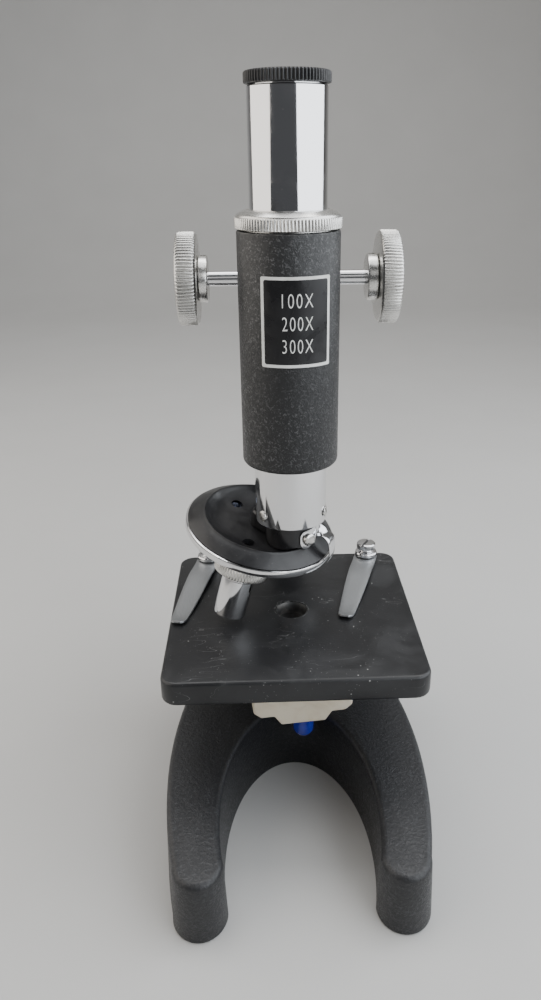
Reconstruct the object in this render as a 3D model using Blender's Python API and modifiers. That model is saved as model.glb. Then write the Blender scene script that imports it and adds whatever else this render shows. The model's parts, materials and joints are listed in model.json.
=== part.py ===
"""A student microscope with a three-lens turret, as an assembly of separate named pieces.

Sizes are in millimetres and MM turns them into metres. The places below are measured from the
point where the optical axis meets the ground: +X to the right, +Y to the back, +Z up. The root
empty moves that point back, so that the whole object is centred on the world origin.
"""

import math

import bmesh
import bpy
from mathutils import Matrix, Vector

MM = 0.001
GAP = 0.3
FINE = 28
MEDIUM = 18
COARSE = 10
EDGE_STEPS = 2

# The whole object
AXIS_SHIFT = 9.65

# Horseshoe base
BASE_HALF_WIDTH = 41.2
BASE_WIDEST_Y = -29.0
BASE_BACK_REACH = 85.0
BASE_BACK_POWER = 1.9
BASE_FRONT_REACH = 86.0
ARCH_HALF_WIDTH = 22.8
ARCH_CENTRE_Y = -50.0
ARCH_REACH = 45.3
TOE_CENTRE_Y = -66.5
TOE_REACH = 8.8
BASE_TOE_HEIGHT = 20.7
BASE_TOP_SLOPE = 0.06
BASE_DRAFT = 0.7
BASE_EDGE = 1.6

# Inclination joint between the pillar and the limb
TILT_Y = 47.0
TILT_Z = 40.0
PILLAR_THICKNESS = 6.0
PILLAR_RADIUS = 7.5
LIMB_THICKNESS = 14.0
TILT_PIN_RADIUS = 2.5
TILT_NUT_RADIUS = 5.4
TILT_NUT_HEIGHT = 4.0
TILT_HEAD_RADIUS = 5.0
TILT_HEAD_HEIGHT = 2.5
RUNNING_GAP = 0.1

# Limb, with its pinion housing and stage bracket
HOUSING_SIZE = (22.0, 12.0, 30.0)
HOUSING_Y = 18.0
COVER_SIZE = (16.0, 2.0, 26.0)
COVER_Y = 25.3
COVER_SCREW_SPREAD = 9.5
COVER_THREAD_RADIUS = 1.15

# Stage
STAGE_TOP = 61.0
STAGE_SIZE = 80.0
STAGE_CENTRE_Y = 0.4
STAGE_THICKNESS = 7.85
STAGE_CORNER = 5.0
STAGE_HOLE_RADIUS = 5.5
APERTURE_RADIUS = 4.7
STAGE_BOTTOM = STAGE_TOP - STAGE_THICKNESS
BRACKET_THICKNESS = 6.0
BRACKET_SIZE = (28.0, 30.0)
BRACKET_Y = 25.0
STAGE_SCREWS_X = (-10.6, 10.6)
STAGE_SCREWS_Y = 30.0
STAGE_THREAD_RADIUS = 1.5

# Body tube and the main tube that slides in it
BODY_RADIUS = 14.45
BODY_BORE = 12.6
BODY_BOTTOM = 114.7
BODY_TOP = 181.8
COLLAR_RADIUS = 14.83
COLLAR_BAND = 3.5
COLLAR_TOP = 187.1
TUBE_RADIUS = 10.7
NOSE_RADIUS = 11.05
TUBE_BORE = 9.6
TUBE_BOTTOM = 95.1
TUBE_TOP = 217.0
LABEL_BOTTOM = 146.7
LABEL_TOP = 171.1
LABEL_HALF_ANGLE = math.radians(39.6)
LABEL_TURN = math.radians(6.4)

# Focus shaft, pinion and rack
SHAFT_Y = 15.0
SHAFT_Z = 166.8
SHAFT_RADIUS = 2.2
GEAR_MODULE = 0.5
PINION_TEETH = 12
PINION_RADIUS = GEAR_MODULE * PINION_TEETH / 2
RACK_PITCH_Y = SHAFT_Y - PINION_RADIUS
RACK_WIDTH = 6.0
RACK_BOTTOM = 128.0
RACK_TOP = 171.2
RACK_SLOT_WIDTH = RACK_WIDTH + 1.6
RACK_SLOT_BOTTOM = 124.5
KNOB_RADIUS = 13.55
KNOB_HUB_RADIUS = 6.8
KNOB_EDGE = 0.7
# Each knob's name, side, and the distances of its hub's end, inner face and outer face
KNOBS = (("left", -1, 23.5, 26.4, 32.5), ("right", 1, 23.7, 27.0, 33.1))

# Turret: a cone and rim that turn on an axis leaning towards the tube
TURRET_OFFSET = 12.86
TURRET_HEADING = math.radians(-37.92)
TURRET_Z = 86.5
TURRET_TILT = math.radians(15.15)
RIM_RADIUS = 24.6
RIM_HEIGHT = 2.46
RIM_WIDTH = 1.9
DISH_RADIUS = 19.4
DISH_TOP = 5.97
DISH_FLOOR = 3.2
LIGHT_HOLE_RADIUS = 1.9
LENS_CIRCLE = TURRET_OFFSET / math.cos(TURRET_TILT)
PIVOT_RADIUS = 2.0
BOSS_RADIUS = 8.0
BOSS_SCREW_Z = TUBE_BOTTOM + 3.4
BOSS_SCREWS = (("left", math.radians(-143.0)), ("right", math.radians(-20.0)))
SPRING_SCREW_Z = 90.5
SPRING_SCREW_TURN = math.radians(-54.0)
SPRING_THICKNESS = 0.4

# The three objectives: name, turn from the working place, length under the turret
OBJECTIVES = (
    ("300x", math.radians(-70.5), 21.8),
    ("100x", math.radians(49.5), 14.5),
    ("200x", math.radians(169.5), 18.0),
)
BARREL_RADIUS = 5.2
BARREL_BORE = 3.8
RING_RADIUS = 8.6
RING_TOP = 3.5
RING_BOTTOM = 7.2

# Eyepiece
CAP_RADIUS = 11.45
CAP_BOTTOM = 217.1
CAP_TOP = 220.4
EYEPIECE_RADIUS = 9.3
EYEPIECE_BORE = 8.0
EYEPIECE_BOTTOM = 186.0

# Stage clips
CLIP_POST = (29.3, 35.2)
CLIP_THICKNESS = 0.8
CLIP_TURN_RIGHT = math.radians(-16.0)
CLIP_TURN_LEFT = math.radians(-10.6)

# Swivelling lamp and mirror under the stage
LAMP_PLACE = (2.0, -11.5)
LAMP_TURN = math.radians(6.5)
LAMP_PIVOT_Z = 38.6
LAMP_WIDTH = 32.6
LAMP_DEPTH = 17.0
LAMP_STEP_WIDTH = 14.6
YOKE_CLEARANCE = 0.9
YOKE_THICKNESS = 2.2
YOKE_DEPTH = 6.0
YOKE_DROP = 0.8
MIRROR_RADIUS = 7.4
BULB_X = 1.3
BULB_RADIUS = 3.6
BULB_CENTRE_Z = -16.4
SWIVEL_SCREW_RADIUS = 1.3


def clear_scene():
    for obj in list(bpy.data.objects):
        bpy.data.objects.remove(obj)


def new_collection(name):
    collection = bpy.data.collections.new(name)
    bpy.context.scene.collection.children.link(collection)
    return collection


def new_material(name, colour, roughness, metallic):
    material = bpy.data.materials.new(name)
    material.use_nodes = True
    shader = material.node_tree.nodes["Principled BSDF"]
    shader.inputs["Base Color"].default_value = (*colour, 1.0)
    shader.inputs["Roughness"].default_value = roughness
    shader.inputs["Metallic"].default_value = metallic
    material.diffuse_color = (*colour, 1.0)
    return material


clear_scene()
PARTS = new_collection("student_microscope")
CUTTERS = new_collection("cutters")

CRINKLE = new_material("black_crinkle_paint", (0.022, 0.023, 0.026), 0.55, 0.0)
SATIN_BLACK = new_material("satin_black_paint", (0.015, 0.015, 0.017), 0.4, 0.0)
GLOSS_BLACK = new_material("gloss_black_enamel", (0.01, 0.01, 0.012), 0.12, 0.0)
LABEL_BLACK = new_material("label_black", (0.008, 0.008, 0.009), 0.2, 0.0)
CAP_PLASTIC = new_material("black_plastic", (0.02, 0.02, 0.022), 0.35, 0.0)
CHROME = new_material("chrome", (0.78, 0.78, 0.8), 0.07, 1.0)
SATIN_METAL = new_material("satin_aluminium", (0.72, 0.72, 0.7), 0.35, 1.0)
CLIP_STEEL = new_material("grey_steel", (0.5, 0.51, 0.52), 0.35, 1.0)
BRIGHT_STEEL = new_material("bright_steel", (0.6, 0.6, 0.61), 0.25, 1.0)
CREAM = new_material("cream_plastic", (0.85, 0.79, 0.66), 0.35, 0.0)
BLUE_GLASS = new_material("blue_glass", (0.05, 0.09, 0.5), 0.1, 0.0)
GLASS = new_material("lens_glass", (0.9, 0.93, 0.95), 0.02, 0.0)
SILVERED = new_material("silvered_mirror", (0.92, 0.93, 0.94), 0.03, 1.0)


def new_empty(name, location, rotation=Matrix.Identity(3), parent=None):
    empty = bpy.data.objects.new(name, None)
    empty.empty_display_size = 0.01
    PARTS.objects.link(empty)
    empty.parent = parent
    empty.matrix_local = Matrix.Translation(Vector(location) * MM) @ rotation.to_4x4()
    return empty


def turn_about(axis, angle):
    return Matrix.Rotation(angle, 3, axis)


ROOT = new_empty("optical_axis_foot", (0.0, AXIS_SHIFT, 0.0))


def place(obj, material, location, rotation, parent):
    """Gives a new object its material, parent and place."""
    PARTS.objects.link(obj)
    obj.data.materials.append(material)
    obj.parent = parent or ROOT
    turn = rotation or Matrix.Identity(3)
    obj.matrix_local = Matrix.Translation(Vector(location) * MM) @ turn.to_4x4()
    return obj


def lathe(name, profile, material, location=(0, 0, 0), rotation=None, parent=None, steps=FINE):
    """Turns a profile of (radius, height) about the object's own Z axis.

    It runs down the outer side. A profile that starts and ends on the axis is solid, and
    any other is a ring.
    """
    mesh = bpy.data.meshes.new(name)
    points = [(radius * MM, 0.0, height * MM) for radius, height in profile]
    edges = [(i, i + 1) for i in range(len(points) - 1)]
    if profile[0][0] > 0.0:
        edges.append((len(points) - 1, 0))
    mesh.from_pydata(points, edges, [])
    obj = place(bpy.data.objects.new(name, mesh), material, location, rotation, parent)
    screw = obj.modifiers.new("turn", "SCREW")
    screw.axis = "Z"
    screw.angle = 2 * math.pi
    screw.steps = steps
    screw.render_steps = steps
    screw.use_merge_vertices = True
    screw.merge_threshold = 0.00001
    screw.use_smooth_shade = True
    return obj


def tube_profile(outer, inner, bottom, top, edge=0.0):
    """A plain ring, with its outer edges broken by a chamfer."""
    return [
        (outer - edge, top),
        (outer, top - edge),
        (outer, bottom + edge),
        (outer - edge, bottom),
        (inner, bottom),
        (inner, top),
    ]


def rod_profile(radius, bottom, top, edge=0.0):
    return [
        (0.0, top),
        (radius - edge, top),
        (radius, top - edge),
        (radius, bottom + edge),
        (radius - edge, bottom),
        (0.0, bottom),
    ]


def block(name, size, material, location=(0, 0, 0), rotation=None, parent=None, edge=0.0):
    """A box of the given size, centred on its place, with its edges rounded."""
    mesh = bpy.data.meshes.new(name)
    shape = bmesh.new()
    bmesh.ops.create_cube(shape, size=MM)
    bmesh.ops.scale(shape, vec=size, verts=shape.verts)
    shape.to_mesh(mesh)
    shape.free()
    obj = place(bpy.data.objects.new(name, mesh), material, location, rotation, parent)
    if edge:
        bevel = obj.modifiers.new("edges", "BEVEL")
        bevel.width = edge * MM
        bevel.segments = EDGE_STEPS
    return obj


def outline_solid(name, outline, bottom, top, material, location=(0, 0, 0), rotation=None,
                  parent=None):
    """A flat outline in XY, raised from bottom to top. The outline runs anticlockwise."""
    mesh = bpy.data.meshes.new(name)
    shape = bmesh.new()
    face = shape.faces.new([shape.verts.new((x * MM, y * MM, bottom * MM)) for x, y in outline])
    raised = bmesh.ops.extrude_face_region(shape, geom=[face])
    moved = [item for item in raised["geom"] if isinstance(item, bmesh.types.BMVert)]
    bmesh.ops.translate(shape, vec=(0.0, 0.0, (top - bottom) * MM), verts=moved)
    bmesh.ops.recalc_face_normals(shape, faces=shape.faces)
    shape.to_mesh(mesh)
    shape.free()
    return place(bpy.data.objects.new(name, mesh), material, location, rotation, parent)


def boolean(target, other, operation):
    """Cuts or joins a helper object, which moves to the cutters' collection."""
    modifier = target.modifiers.new(other.name, "BOOLEAN")
    modifier.operation = operation
    modifier.solver = "EXACT"
    modifier.object = other
    if other.name in PARTS.objects:
        PARTS.objects.unlink(other)
        CUTTERS.objects.link(other)
    other.hide_render = True
    other.display_type = "WIRE"
    return target


def cut(target, *others):
    for other in others:
        boolean(target, other, "DIFFERENCE")
    return target


def join(target, *others):
    for other in others:
        boolean(target, other, "UNION")
    return target


def cutting_rod(name, radius, bottom, top, location=(0, 0, 0), rotation=None, parent=None,
                steps=COARSE):
    return lathe(name, rod_profile(radius, bottom, top), CRINKLE, location, rotation, parent, steps)


ALONG_X = turn_about("Y", math.pi / 2)
ALONG_MINUS_X = turn_about("Y", -math.pi / 2)
ALONG_Y = turn_about("X", -math.pi / 2)
# Turns a flat outline up, so that its X runs along world Y and its Y along world Z.
UPRIGHT_YZ = Matrix(((0.0, 0.0, 1.0), (1.0, 0.0, 0.0), (0.0, 1.0, 0.0)))
# Turns a flat outline up, so that its X stays put and its Y runs along world Z.
UPRIGHT_XZ = turn_about("X", math.pi / 2)


def arc(centre, radius, start, end, count):
    """Points on a circle, from one angle to another."""
    angles = [start + (end - start) * i / count for i in range(count + 1)]
    return [(centre[0] + radius * math.cos(a), centre[1] + radius * math.sin(a)) for a in angles]


# The stand -----------------------------------------------------------------------------------

def base_half_width(y):
    """Half the base's outer width at a distance from its middle."""
    away = y - BASE_WIDEST_Y
    if away >= 0.0:
        share = 1.0 - (away / BASE_BACK_REACH) ** BASE_BACK_POWER
        return BASE_HALF_WIDTH * max(share, 0.0) ** (1.0 / BASE_BACK_POWER)
    return BASE_HALF_WIDTH * math.sqrt(1.0 - (away / BASE_FRONT_REACH) ** 2)


def arch_half_width(y):
    return ARCH_HALF_WIDTH * math.sqrt(max(1.0 - ((y - ARCH_CENTRE_Y) / ARCH_REACH) ** 2, 0.0))


def base_outline():
    """The right half of the horseshoe, from the middle of its back to the top of its arch."""
    points = []
    for i in range(14):
        turn = math.pi / 2 * i / 14
        y = BASE_WIDEST_Y + BASE_BACK_REACH * math.cos(turn) ** (2.0 / BASE_BACK_POWER)
        points.append((base_half_width(y), y))
    steps = 8
    for i in range(steps + 1):
        y = BASE_WIDEST_Y + (TOE_CENTRE_Y - BASE_WIDEST_Y) * i / steps
        points.append((base_half_width(y), y))
    outer = base_half_width(TOE_CENTRE_Y)
    inner = arch_half_width(TOE_CENTRE_Y)
    middle = (outer + inner) / 2
    for i in range(1, 10):
        turn = math.pi * i / 10
        x = middle + (outer - inner) / 2 * math.cos(turn)
        points.append((x, TOE_CENTRE_Y - TOE_REACH * math.sin(turn)))
    start = math.asin((TOE_CENTRE_Y - ARCH_CENTRE_Y) / ARCH_REACH)
    for i in range(17):
        turn = start + (math.pi / 2 - start) * i / 16
        points.append((ARCH_HALF_WIDTH * math.cos(turn), ARCH_CENTRE_Y + ARCH_REACH * math.sin(turn)))
    return points


def inset(points, distance):
    """Moves each point of a closed outline inwards, square to its neighbours."""
    moved = []
    for i, (x, y) in enumerate(points):
        before = Vector(points[i - 1])
        after = Vector(points[(i + 1) % len(points)])
        along = (after - before).normalized()
        moved.append((x + along.y * distance, y - along.x * distance))
    return moved


def base_top(y):
    return BASE_TOE_HEIGHT + BASE_TOP_SLOPE * (y - TOE_CENTRE_Y + TOE_REACH)


def make_base():
    half = base_outline()
    whole = half + [(-x, y) for x, y in reversed(half[1:-1])]
    mesh = bpy.data.meshes.new("base_casting")
    shape = bmesh.new()
    rings = []
    # Each level is (share of the height, inset), from the ground to the rounded top edge.
    levels = (
        (0.0, 0.0, 0.5),
        (0.0, 0.5, 0.0),
        (1.0, -BASE_EDGE, BASE_DRAFT),
        (1.0, -BASE_EDGE * 0.3, BASE_DRAFT + BASE_EDGE * 0.3),
        (1.0, 0.0, BASE_DRAFT + BASE_EDGE),
    )
    for share, lift, distance in levels:
        ring = inset(whole, distance)
        rings.append([
            shape.verts.new((x * MM, y * MM, (share * base_top(y) + lift) * MM)) for x, y in ring
        ])
    for low, high in zip(rings, rings[1:]):
        for i in range(len(low)):
            j = (i + 1) % len(low)
            shape.faces.new((low[i], low[j], high[j], high[i]))
    bottom = shape.faces.new(rings[0])
    top = shape.faces.new(rings[-1])
    bmesh.ops.triangulate(shape, faces=[bottom, top])
    bmesh.ops.recalc_face_normals(shape, faces=shape.faces)
    shape.to_mesh(mesh)
    shape.free()
    base = place(bpy.data.objects.new("base_casting", mesh), CRINKLE, (0, 0, 0), None, None)
    ear_centre = LIMB_THICKNESS / 2 + GAP + PILLAR_THICKNESS / 2
    foot = base_top(TILT_Y) - 3.0
    for side, name in ((-1, "left"), (1, "right")):
        outline = arc((0.0, TILT_Z), PILLAR_RADIUS, 0.0, math.pi, 12)
        outline += [(-PILLAR_RADIUS - 1.5, foot), (PILLAR_RADIUS - 3.5, foot)]
        ear = outline_solid("pillar_ear_" + name, outline, -PILLAR_THICKNESS / 2,
                            PILLAR_THICKNESS / 2, CRINKLE,
                            (side * ear_centre, TILT_Y, 0.0), UPRIGHT_YZ)
        join(base, ear)
    pin_hole = cutting_rod("tilt_pin_hole", TILT_PIN_RADIUS + RUNNING_GAP, -30.0, 30.0,
                           (0.0, TILT_Y, TILT_Z), ALONG_X, None, MEDIUM)
    cut(base, pin_hole)
    return base


def make_tilt_pin():
    """The pin that the limb leans on, with a slotted head and a nut."""
    place_here = (0.0, TILT_Y, TILT_Z)
    half = LIMB_THICKNESS / 2 + GAP + PILLAR_THICKNESS
    end = half + GAP + TILT_NUT_HEIGHT + 1.7
    head = -half - GAP
    tip = head - TILT_HEAD_HEIGHT
    pin = lathe(
        "inclination_pin",
        [
            (0.0, end), (TILT_PIN_RADIUS - 0.3, end), (TILT_PIN_RADIUS, end - 0.3),
            (TILT_PIN_RADIUS, head), (TILT_HEAD_RADIUS, head), (TILT_HEAD_RADIUS, tip + 0.6),
            (TILT_HEAD_RADIUS - 0.6, tip), (0.0, tip),
        ],
        BRIGHT_STEEL, place_here, ALONG_X, steps=MEDIUM,
    )
    cut(pin, block("pin_slot", (1.6, 12.0, 1.2), BRIGHT_STEEL, (tip, TILT_Y, TILT_Z)))
    hexagon = arc((0.0, 0.0), TILT_NUT_RADIUS, 0.0, 2 * math.pi * 5 / 6, 5)
    nut = outline_solid("inclination_nut", hexagon, half + GAP, half + GAP + TILT_NUT_HEIGHT,
                        BRIGHT_STEEL, place_here, ALONG_X)
    cut(nut, cutting_rod("nut_bore", TILT_PIN_RADIUS + RUNNING_GAP, 0.0, 30.0, place_here,
                         ALONG_X, None, MEDIUM))


# The limb ------------------------------------------------------------------------------------

def limb_outline():
    """The arm's side view, as (y, z), anticlockwise."""
    points = arc((TILT_Y, TILT_Z), 6.6, -math.pi, 0.0, 12)
    points += [(TILT_Y + 7.0, 52.0), (TILT_Y + 8.0, 66.0)]
    points += arc((20.0, 100.0), 34.5, math.radians(-8.0), math.radians(72.0), 8)
    points += [(25.0, 142.0), (24.0, 150.0), (24.0, 181.0), (12.0, 181.0), (12.0, 118.0)]
    points += [(15.0, 116.0), (20.0, 115.0)]
    points += arc((20.0, 100.0), 24.0, math.radians(60.0), math.radians(-10.0), 7)
    points += [(43.0, 66.0), (42.0, STAGE_BOTTOM - GAP)]
    points += [(14.0, STAGE_BOTTOM - GAP), (14.0, STAGE_BOTTOM - BRACKET_THICKNESS)]
    points += [(36.0, STAGE_BOTTOM - BRACKET_THICKNESS - 1.0)]
    return points


def make_limb():
    """The curved arm, with the pinion housing at its top and the stage bracket at its foot."""
    half = LIMB_THICKNESS / 2
    limb = outline_solid("limb_casting", limb_outline(), -half, half, CRINKLE, (0, 0, 0), UPRIGHT_YZ)
    housing = block("pinion_housing", HOUSING_SIZE, CRINKLE, (0.0, HOUSING_Y, SHAFT_Z), edge=1.5)
    bracket = block("stage_bracket", (*BRACKET_SIZE, BRACKET_THICKNESS - GAP), CRINKLE,
                    (0.0, BRACKET_Y, STAGE_BOTTOM - (BRACKET_THICKNESS + GAP) / 2), edge=1.0)
    join(limb, housing, bracket)
    tube_room = cutting_rod("tube_room", BODY_RADIUS + GAP, 90.0, 230.0, steps=FINE)
    rack_room = block("rack_room", (RACK_SLOT_WIDTH, 9.0, 76.0), CRINKLE, (0.0, 12.0, 150.0))
    shaft_hole = cutting_rod("shaft_hole", SHAFT_RADIUS + 0.06, -30.0, 30.0,
                             (0.0, SHAFT_Y, SHAFT_Z), ALONG_X, steps=MEDIUM)
    pinion_room = cutting_rod("pinion_room", PINION_RADIUS + 1.0, -4.2, 4.2,
                              (0.0, SHAFT_Y, SHAFT_Z), ALONG_X, steps=MEDIUM)
    access = block("pinion_access", (8.4, 12.0, 12.0), CRINKLE, (0.0, 21.0, SHAFT_Z))
    pin_hole = cutting_rod("limb_pin_hole", TILT_PIN_RADIUS + RUNNING_GAP, -20.0, 20.0,
                           (0.0, TILT_Y, TILT_Z), ALONG_X, None, MEDIUM)
    cut(limb, tube_room, rack_room, shaft_hole, pinion_room, access, pin_hole)
    for x in STAGE_SCREWS_X:
        cut(limb, cutting_rod("stage_screw_hole_%d" % x, STAGE_THREAD_RADIUS + RUNNING_GAP, 40.0,
                              60.0, (x, STAGE_SCREWS_Y, 0.0)))
    for z in (SHAFT_Z - COVER_SCREW_SPREAD, SHAFT_Z + COVER_SCREW_SPREAD):
        cut(limb, cutting_rod("cover_hole_%d" % z, COVER_THREAD_RADIUS, 0.0, 8.0, (0.0, 19.0, z),
                              ALONG_Y))
    return limb


def make_pinion_cover():
    """The plate that closes the pinion housing at the back, held by two screws."""
    cover = block("pinion_cover", COVER_SIZE, CRINKLE, (0.0, COVER_Y, SHAFT_Z), edge=0.6)
    outside = COVER_Y + COVER_SIZE[1] / 2
    for name, side in (("lower", -1), ("upper", 1)):
        z = SHAFT_Z + side * COVER_SCREW_SPREAD
        cut(cover, cutting_rod("cover_through_" + name, COVER_THREAD_RADIUS, -4.0, 4.0,
                               (0.0, COVER_Y, z), ALONG_Y))
        screw = lathe(
            "cover_screw_" + name,
            [(0.0, 2.6), (1.6, 2.4), (2.3, 1.6), (2.3, GAP), (0.9, GAP), (0.9, -6.0), (0.0, -6.0)],
            BRIGHT_STEEL, (0.0, outside, z), ALONG_Y, steps=COARSE,
        )
        cut(screw, block("cover_slot_" + name, (6.0, 1.4, 0.7), CRINKLE, (0.0, outside + 2.4, z)))


def make_body_tube():
    """The outer tube. The rack's slot runs down its back."""
    body = lathe(
        "body_tube",
        [
            (BODY_RADIUS - 0.4, BODY_TOP), (BODY_RADIUS, BODY_TOP - 0.4),
            (BODY_RADIUS, BODY_BOTTOM + 1.2), (BODY_RADIUS - 0.35, BODY_BOTTOM + 0.4),
            (BODY_RADIUS - 1.1, BODY_BOTTOM), (BODY_BORE, BODY_BOTTOM), (BODY_BORE, BODY_TOP),
        ],
        CRINKLE,
    )
    slot_height = BODY_TOP + 5.0 - RACK_SLOT_BOTTOM
    slot = block("rack_slot", (RACK_SLOT_WIDTH, 8.0, slot_height), CRINKLE,
                 (0.0, BODY_RADIUS, RACK_SLOT_BOTTOM + slot_height / 2))
    shaft_way = cutting_rod("shaft_way", SHAFT_RADIUS + 0.5, -11.0, 11.0,
                            (0.0, SHAFT_Y, SHAFT_Z), ALONG_X)
    cut(body, slot, shaft_way)
    lathe("guide_bush",
          tube_profile(BODY_BORE - 0.1, NOSE_RADIUS + 0.1, BODY_BOTTOM + 2.4, BODY_BOTTOM + 9.0),
          SATIN_METAL)


def make_label():
    """A thin curved plate on the front of the body tube."""
    inner = BODY_RADIUS + 0.05
    outer = inner + 0.35
    middle = -math.pi / 2 + LABEL_TURN
    start = middle - LABEL_HALF_ANGLE
    end = middle + LABEL_HALF_ANGLE
    outline = arc((0, 0), outer, start, end, 16) + arc((0, 0), inner, end, start, 16)
    outline_solid("label_plate", outline, LABEL_BOTTOM, LABEL_TOP, LABEL_BLACK)


def make_collar():
    """The ring screwed into the top of the body tube, with a keyway at its back for the rack."""
    collar = lathe(
        "top_collar",
        [
            (TUBE_RADIUS + 1.0, COLLAR_TOP), (TUBE_RADIUS + 1.6, COLLAR_TOP - 0.3),
            (COLLAR_RADIUS - 0.5, BODY_TOP + COLLAR_BAND + 0.3),
            (COLLAR_RADIUS, BODY_TOP + COLLAR_BAND - 0.2), (COLLAR_RADIUS, BODY_TOP + 0.6),
            (COLLAR_RADIUS - 0.3, BODY_TOP + GAP), (BODY_BORE - 0.1, BODY_TOP + GAP),
            (BODY_BORE - 0.1, BODY_TOP - 3.0), (TUBE_RADIUS + 1.5, BODY_TOP - 3.0),
            (TUBE_RADIUS + 1.5, BODY_TOP + 1.0), (TUBE_RADIUS + 0.1, BODY_TOP + 1.0),
            (TUBE_RADIUS + 0.1, COLLAR_TOP - 0.6),
        ],
        SATIN_METAL,
    )
    cut(collar, block("rack_keyway", (RACK_SLOT_WIDTH, 6.4, 20.0), CRINKLE, (0.0, 10.0, BODY_TOP)))


def rounded_square(size, corner):
    half = size / 2 - corner
    points = []
    for i, (sx, sy) in enumerate(((1, 1), (-1, 1), (-1, -1), (1, -1))):
        points += arc((sx * half, sy * half), corner, math.pi / 2 * i, math.pi / 2 * (i + 1), 6)
    return points


def make_stage():
    """The square stage, its fixing screws and the ring that lines its hole."""
    stage = outline_solid("stage_plate", rounded_square(STAGE_SIZE, STAGE_CORNER), STAGE_BOTTOM,
                          STAGE_TOP, SATIN_BLACK, (0.0, STAGE_CENTRE_Y, 0.0))
    bevel = stage.modifiers.new("edges", "BEVEL")
    bevel.width = 0.9 * MM
    bevel.segments = EDGE_STEPS
    bevel.angle_limit = math.radians(60.0)
    cut(stage, cutting_rod("aperture", STAGE_HOLE_RADIUS, 50.0, 70.0, steps=FINE))
    for x in STAGE_SCREWS_X:
        cut(stage, cutting_rod("stage_thread_%d" % x, STAGE_THREAD_RADIUS, 50.0, STAGE_TOP - 2.5,
                               (x, STAGE_SCREWS_Y, 0.0)))
    for x in (-CLIP_POST[0], CLIP_POST[0]):
        cut(stage, cutting_rod("clip_thread_%d" % x, STAGE_THREAD_RADIUS, 50.0, 70.0,
                               (x, CLIP_POST[1], 0.0)))
    cut(stage, cutting_rod("swivel_thread", SWIVEL_SCREW_RADIUS + RUNNING_GAP, 50.0,
                           STAGE_TOP - 2.5, (*LAMP_PLACE, 0.0)))
    underside = STAGE_BOTTOM - BRACKET_THICKNESS - GAP
    for name, x in zip(("left", "right"), STAGE_SCREWS_X):
        screw = lathe(
            "stage_screw_" + name,
            [(0.0, 10.0), (1.35, 10.0), (1.35, 0.0), (2.8, 0.0), (2.8, -1.6), (2.2, -2.2), (0.0, -2.2)],
            BRIGHT_STEEL, (x, STAGE_SCREWS_Y, underside), steps=COARSE,
        )
        cut(screw, block("stage_slot_" + name, (7.0, 0.8, 1.6), CRINKLE,
                         (x, STAGE_SCREWS_Y, underside - 2.2)))
    lathe(
        "aperture_ring",
        [
            (STAGE_HOLE_RADIUS - 0.1, STAGE_TOP - 0.15), (STAGE_HOLE_RADIUS - 0.1, STAGE_TOP - 4.0),
            (APERTURE_RADIUS, STAGE_TOP - 4.0), (APERTURE_RADIUS, STAGE_TOP - 1.1),
        ],
        SATIN_METAL,
    )


def make_clip(name, x, turn):
    """A spring clip on its post. The leaf lies on the stage, and its tip turns up."""
    post = (x, CLIP_POST[1], STAGE_TOP)
    lathe(
        "clip_post_" + name,
        [
            (0.0, 6.9), (3.1, 6.9), (3.5, 6.5), (3.5, 4.9), (3.1, 4.5), (2.2, 4.2), (2.2, 3.9),
            (3.6, 3.6), (4.1, 3.1), (4.1, 1.9), (1.9, 1.9), (1.9, 0.2), (1.3, 0.2), (1.3, -6.5),
            (0.0, -6.5),
        ],
        CHROME, post, steps=MEDIUM,
    )
    hinge = new_empty("clip_axis_" + name, post, turn_about("Z", turn), ROOT)
    mesh = bpy.data.meshes.new("clip_leaf_" + name)
    shape = bmesh.new()
    # Stations along the leaf: distance from the post, half width, height of its underside.
    stations = (
        (-4.0, 2.2, 0.9), (-2.6, 3.4, 0.9), (0.0, 4.1, 0.9), (6.0, 4.1, 0.9), (14.0, 4.0, 1.5),
        (26.0, 3.6, 0.9), (36.0, 3.0, 0.35), (40.5, 2.7, 0.3), (43.0, 2.3, 0.6), (44.3, 1.3, 1.1),
    )
    rows = []
    for reach, half, height in stations:
        rows.append([
            shape.verts.new((side * half * MM, -reach * MM, height * MM)) for side in (-1, 1)
        ])
    for low, high in zip(rows, rows[1:]):
        shape.faces.new((low[0], high[0], high[1], low[1]))
    bmesh.ops.recalc_face_normals(shape, faces=shape.faces)
    if sum(face.normal.z for face in shape.faces) < 0:
        bmesh.ops.reverse_faces(shape, faces=shape.faces)
    shape.to_mesh(mesh)
    shape.free()
    leaf = place(bpy.data.objects.new("clip_leaf_" + name, mesh), CLIP_STEEL, (0, 0, 0), None, hinge)
    solid = leaf.modifiers.new("thickness", "SOLIDIFY")
    solid.thickness = CLIP_THICKNESS * MM
    solid.offset = 1.0
    cut(leaf, cutting_rod("clip_eye_" + name, 2.0, -3.0, 4.0, (0, 0, 0), None, hinge))


# The focus shaft -----------------------------------------------------------------------------

def gear_outline():
    """A spur gear with straight-sided teeth."""
    tip = PINION_RADIUS + 0.8 * GEAR_MODULE
    root = PINION_RADIUS - 1.1 * GEAR_MODULE
    step = 2 * math.pi / PINION_TEETH
    points = []
    for tooth in range(PINION_TEETH):
        middle = step * (tooth + 0.5)
        for radius, share in ((root, -0.34), (tip, -0.13), (tip, 0.13), (root, 0.34)):
            angle = middle + share * step
            points.append((radius * math.cos(angle), radius * math.sin(angle)))
    return points


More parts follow.
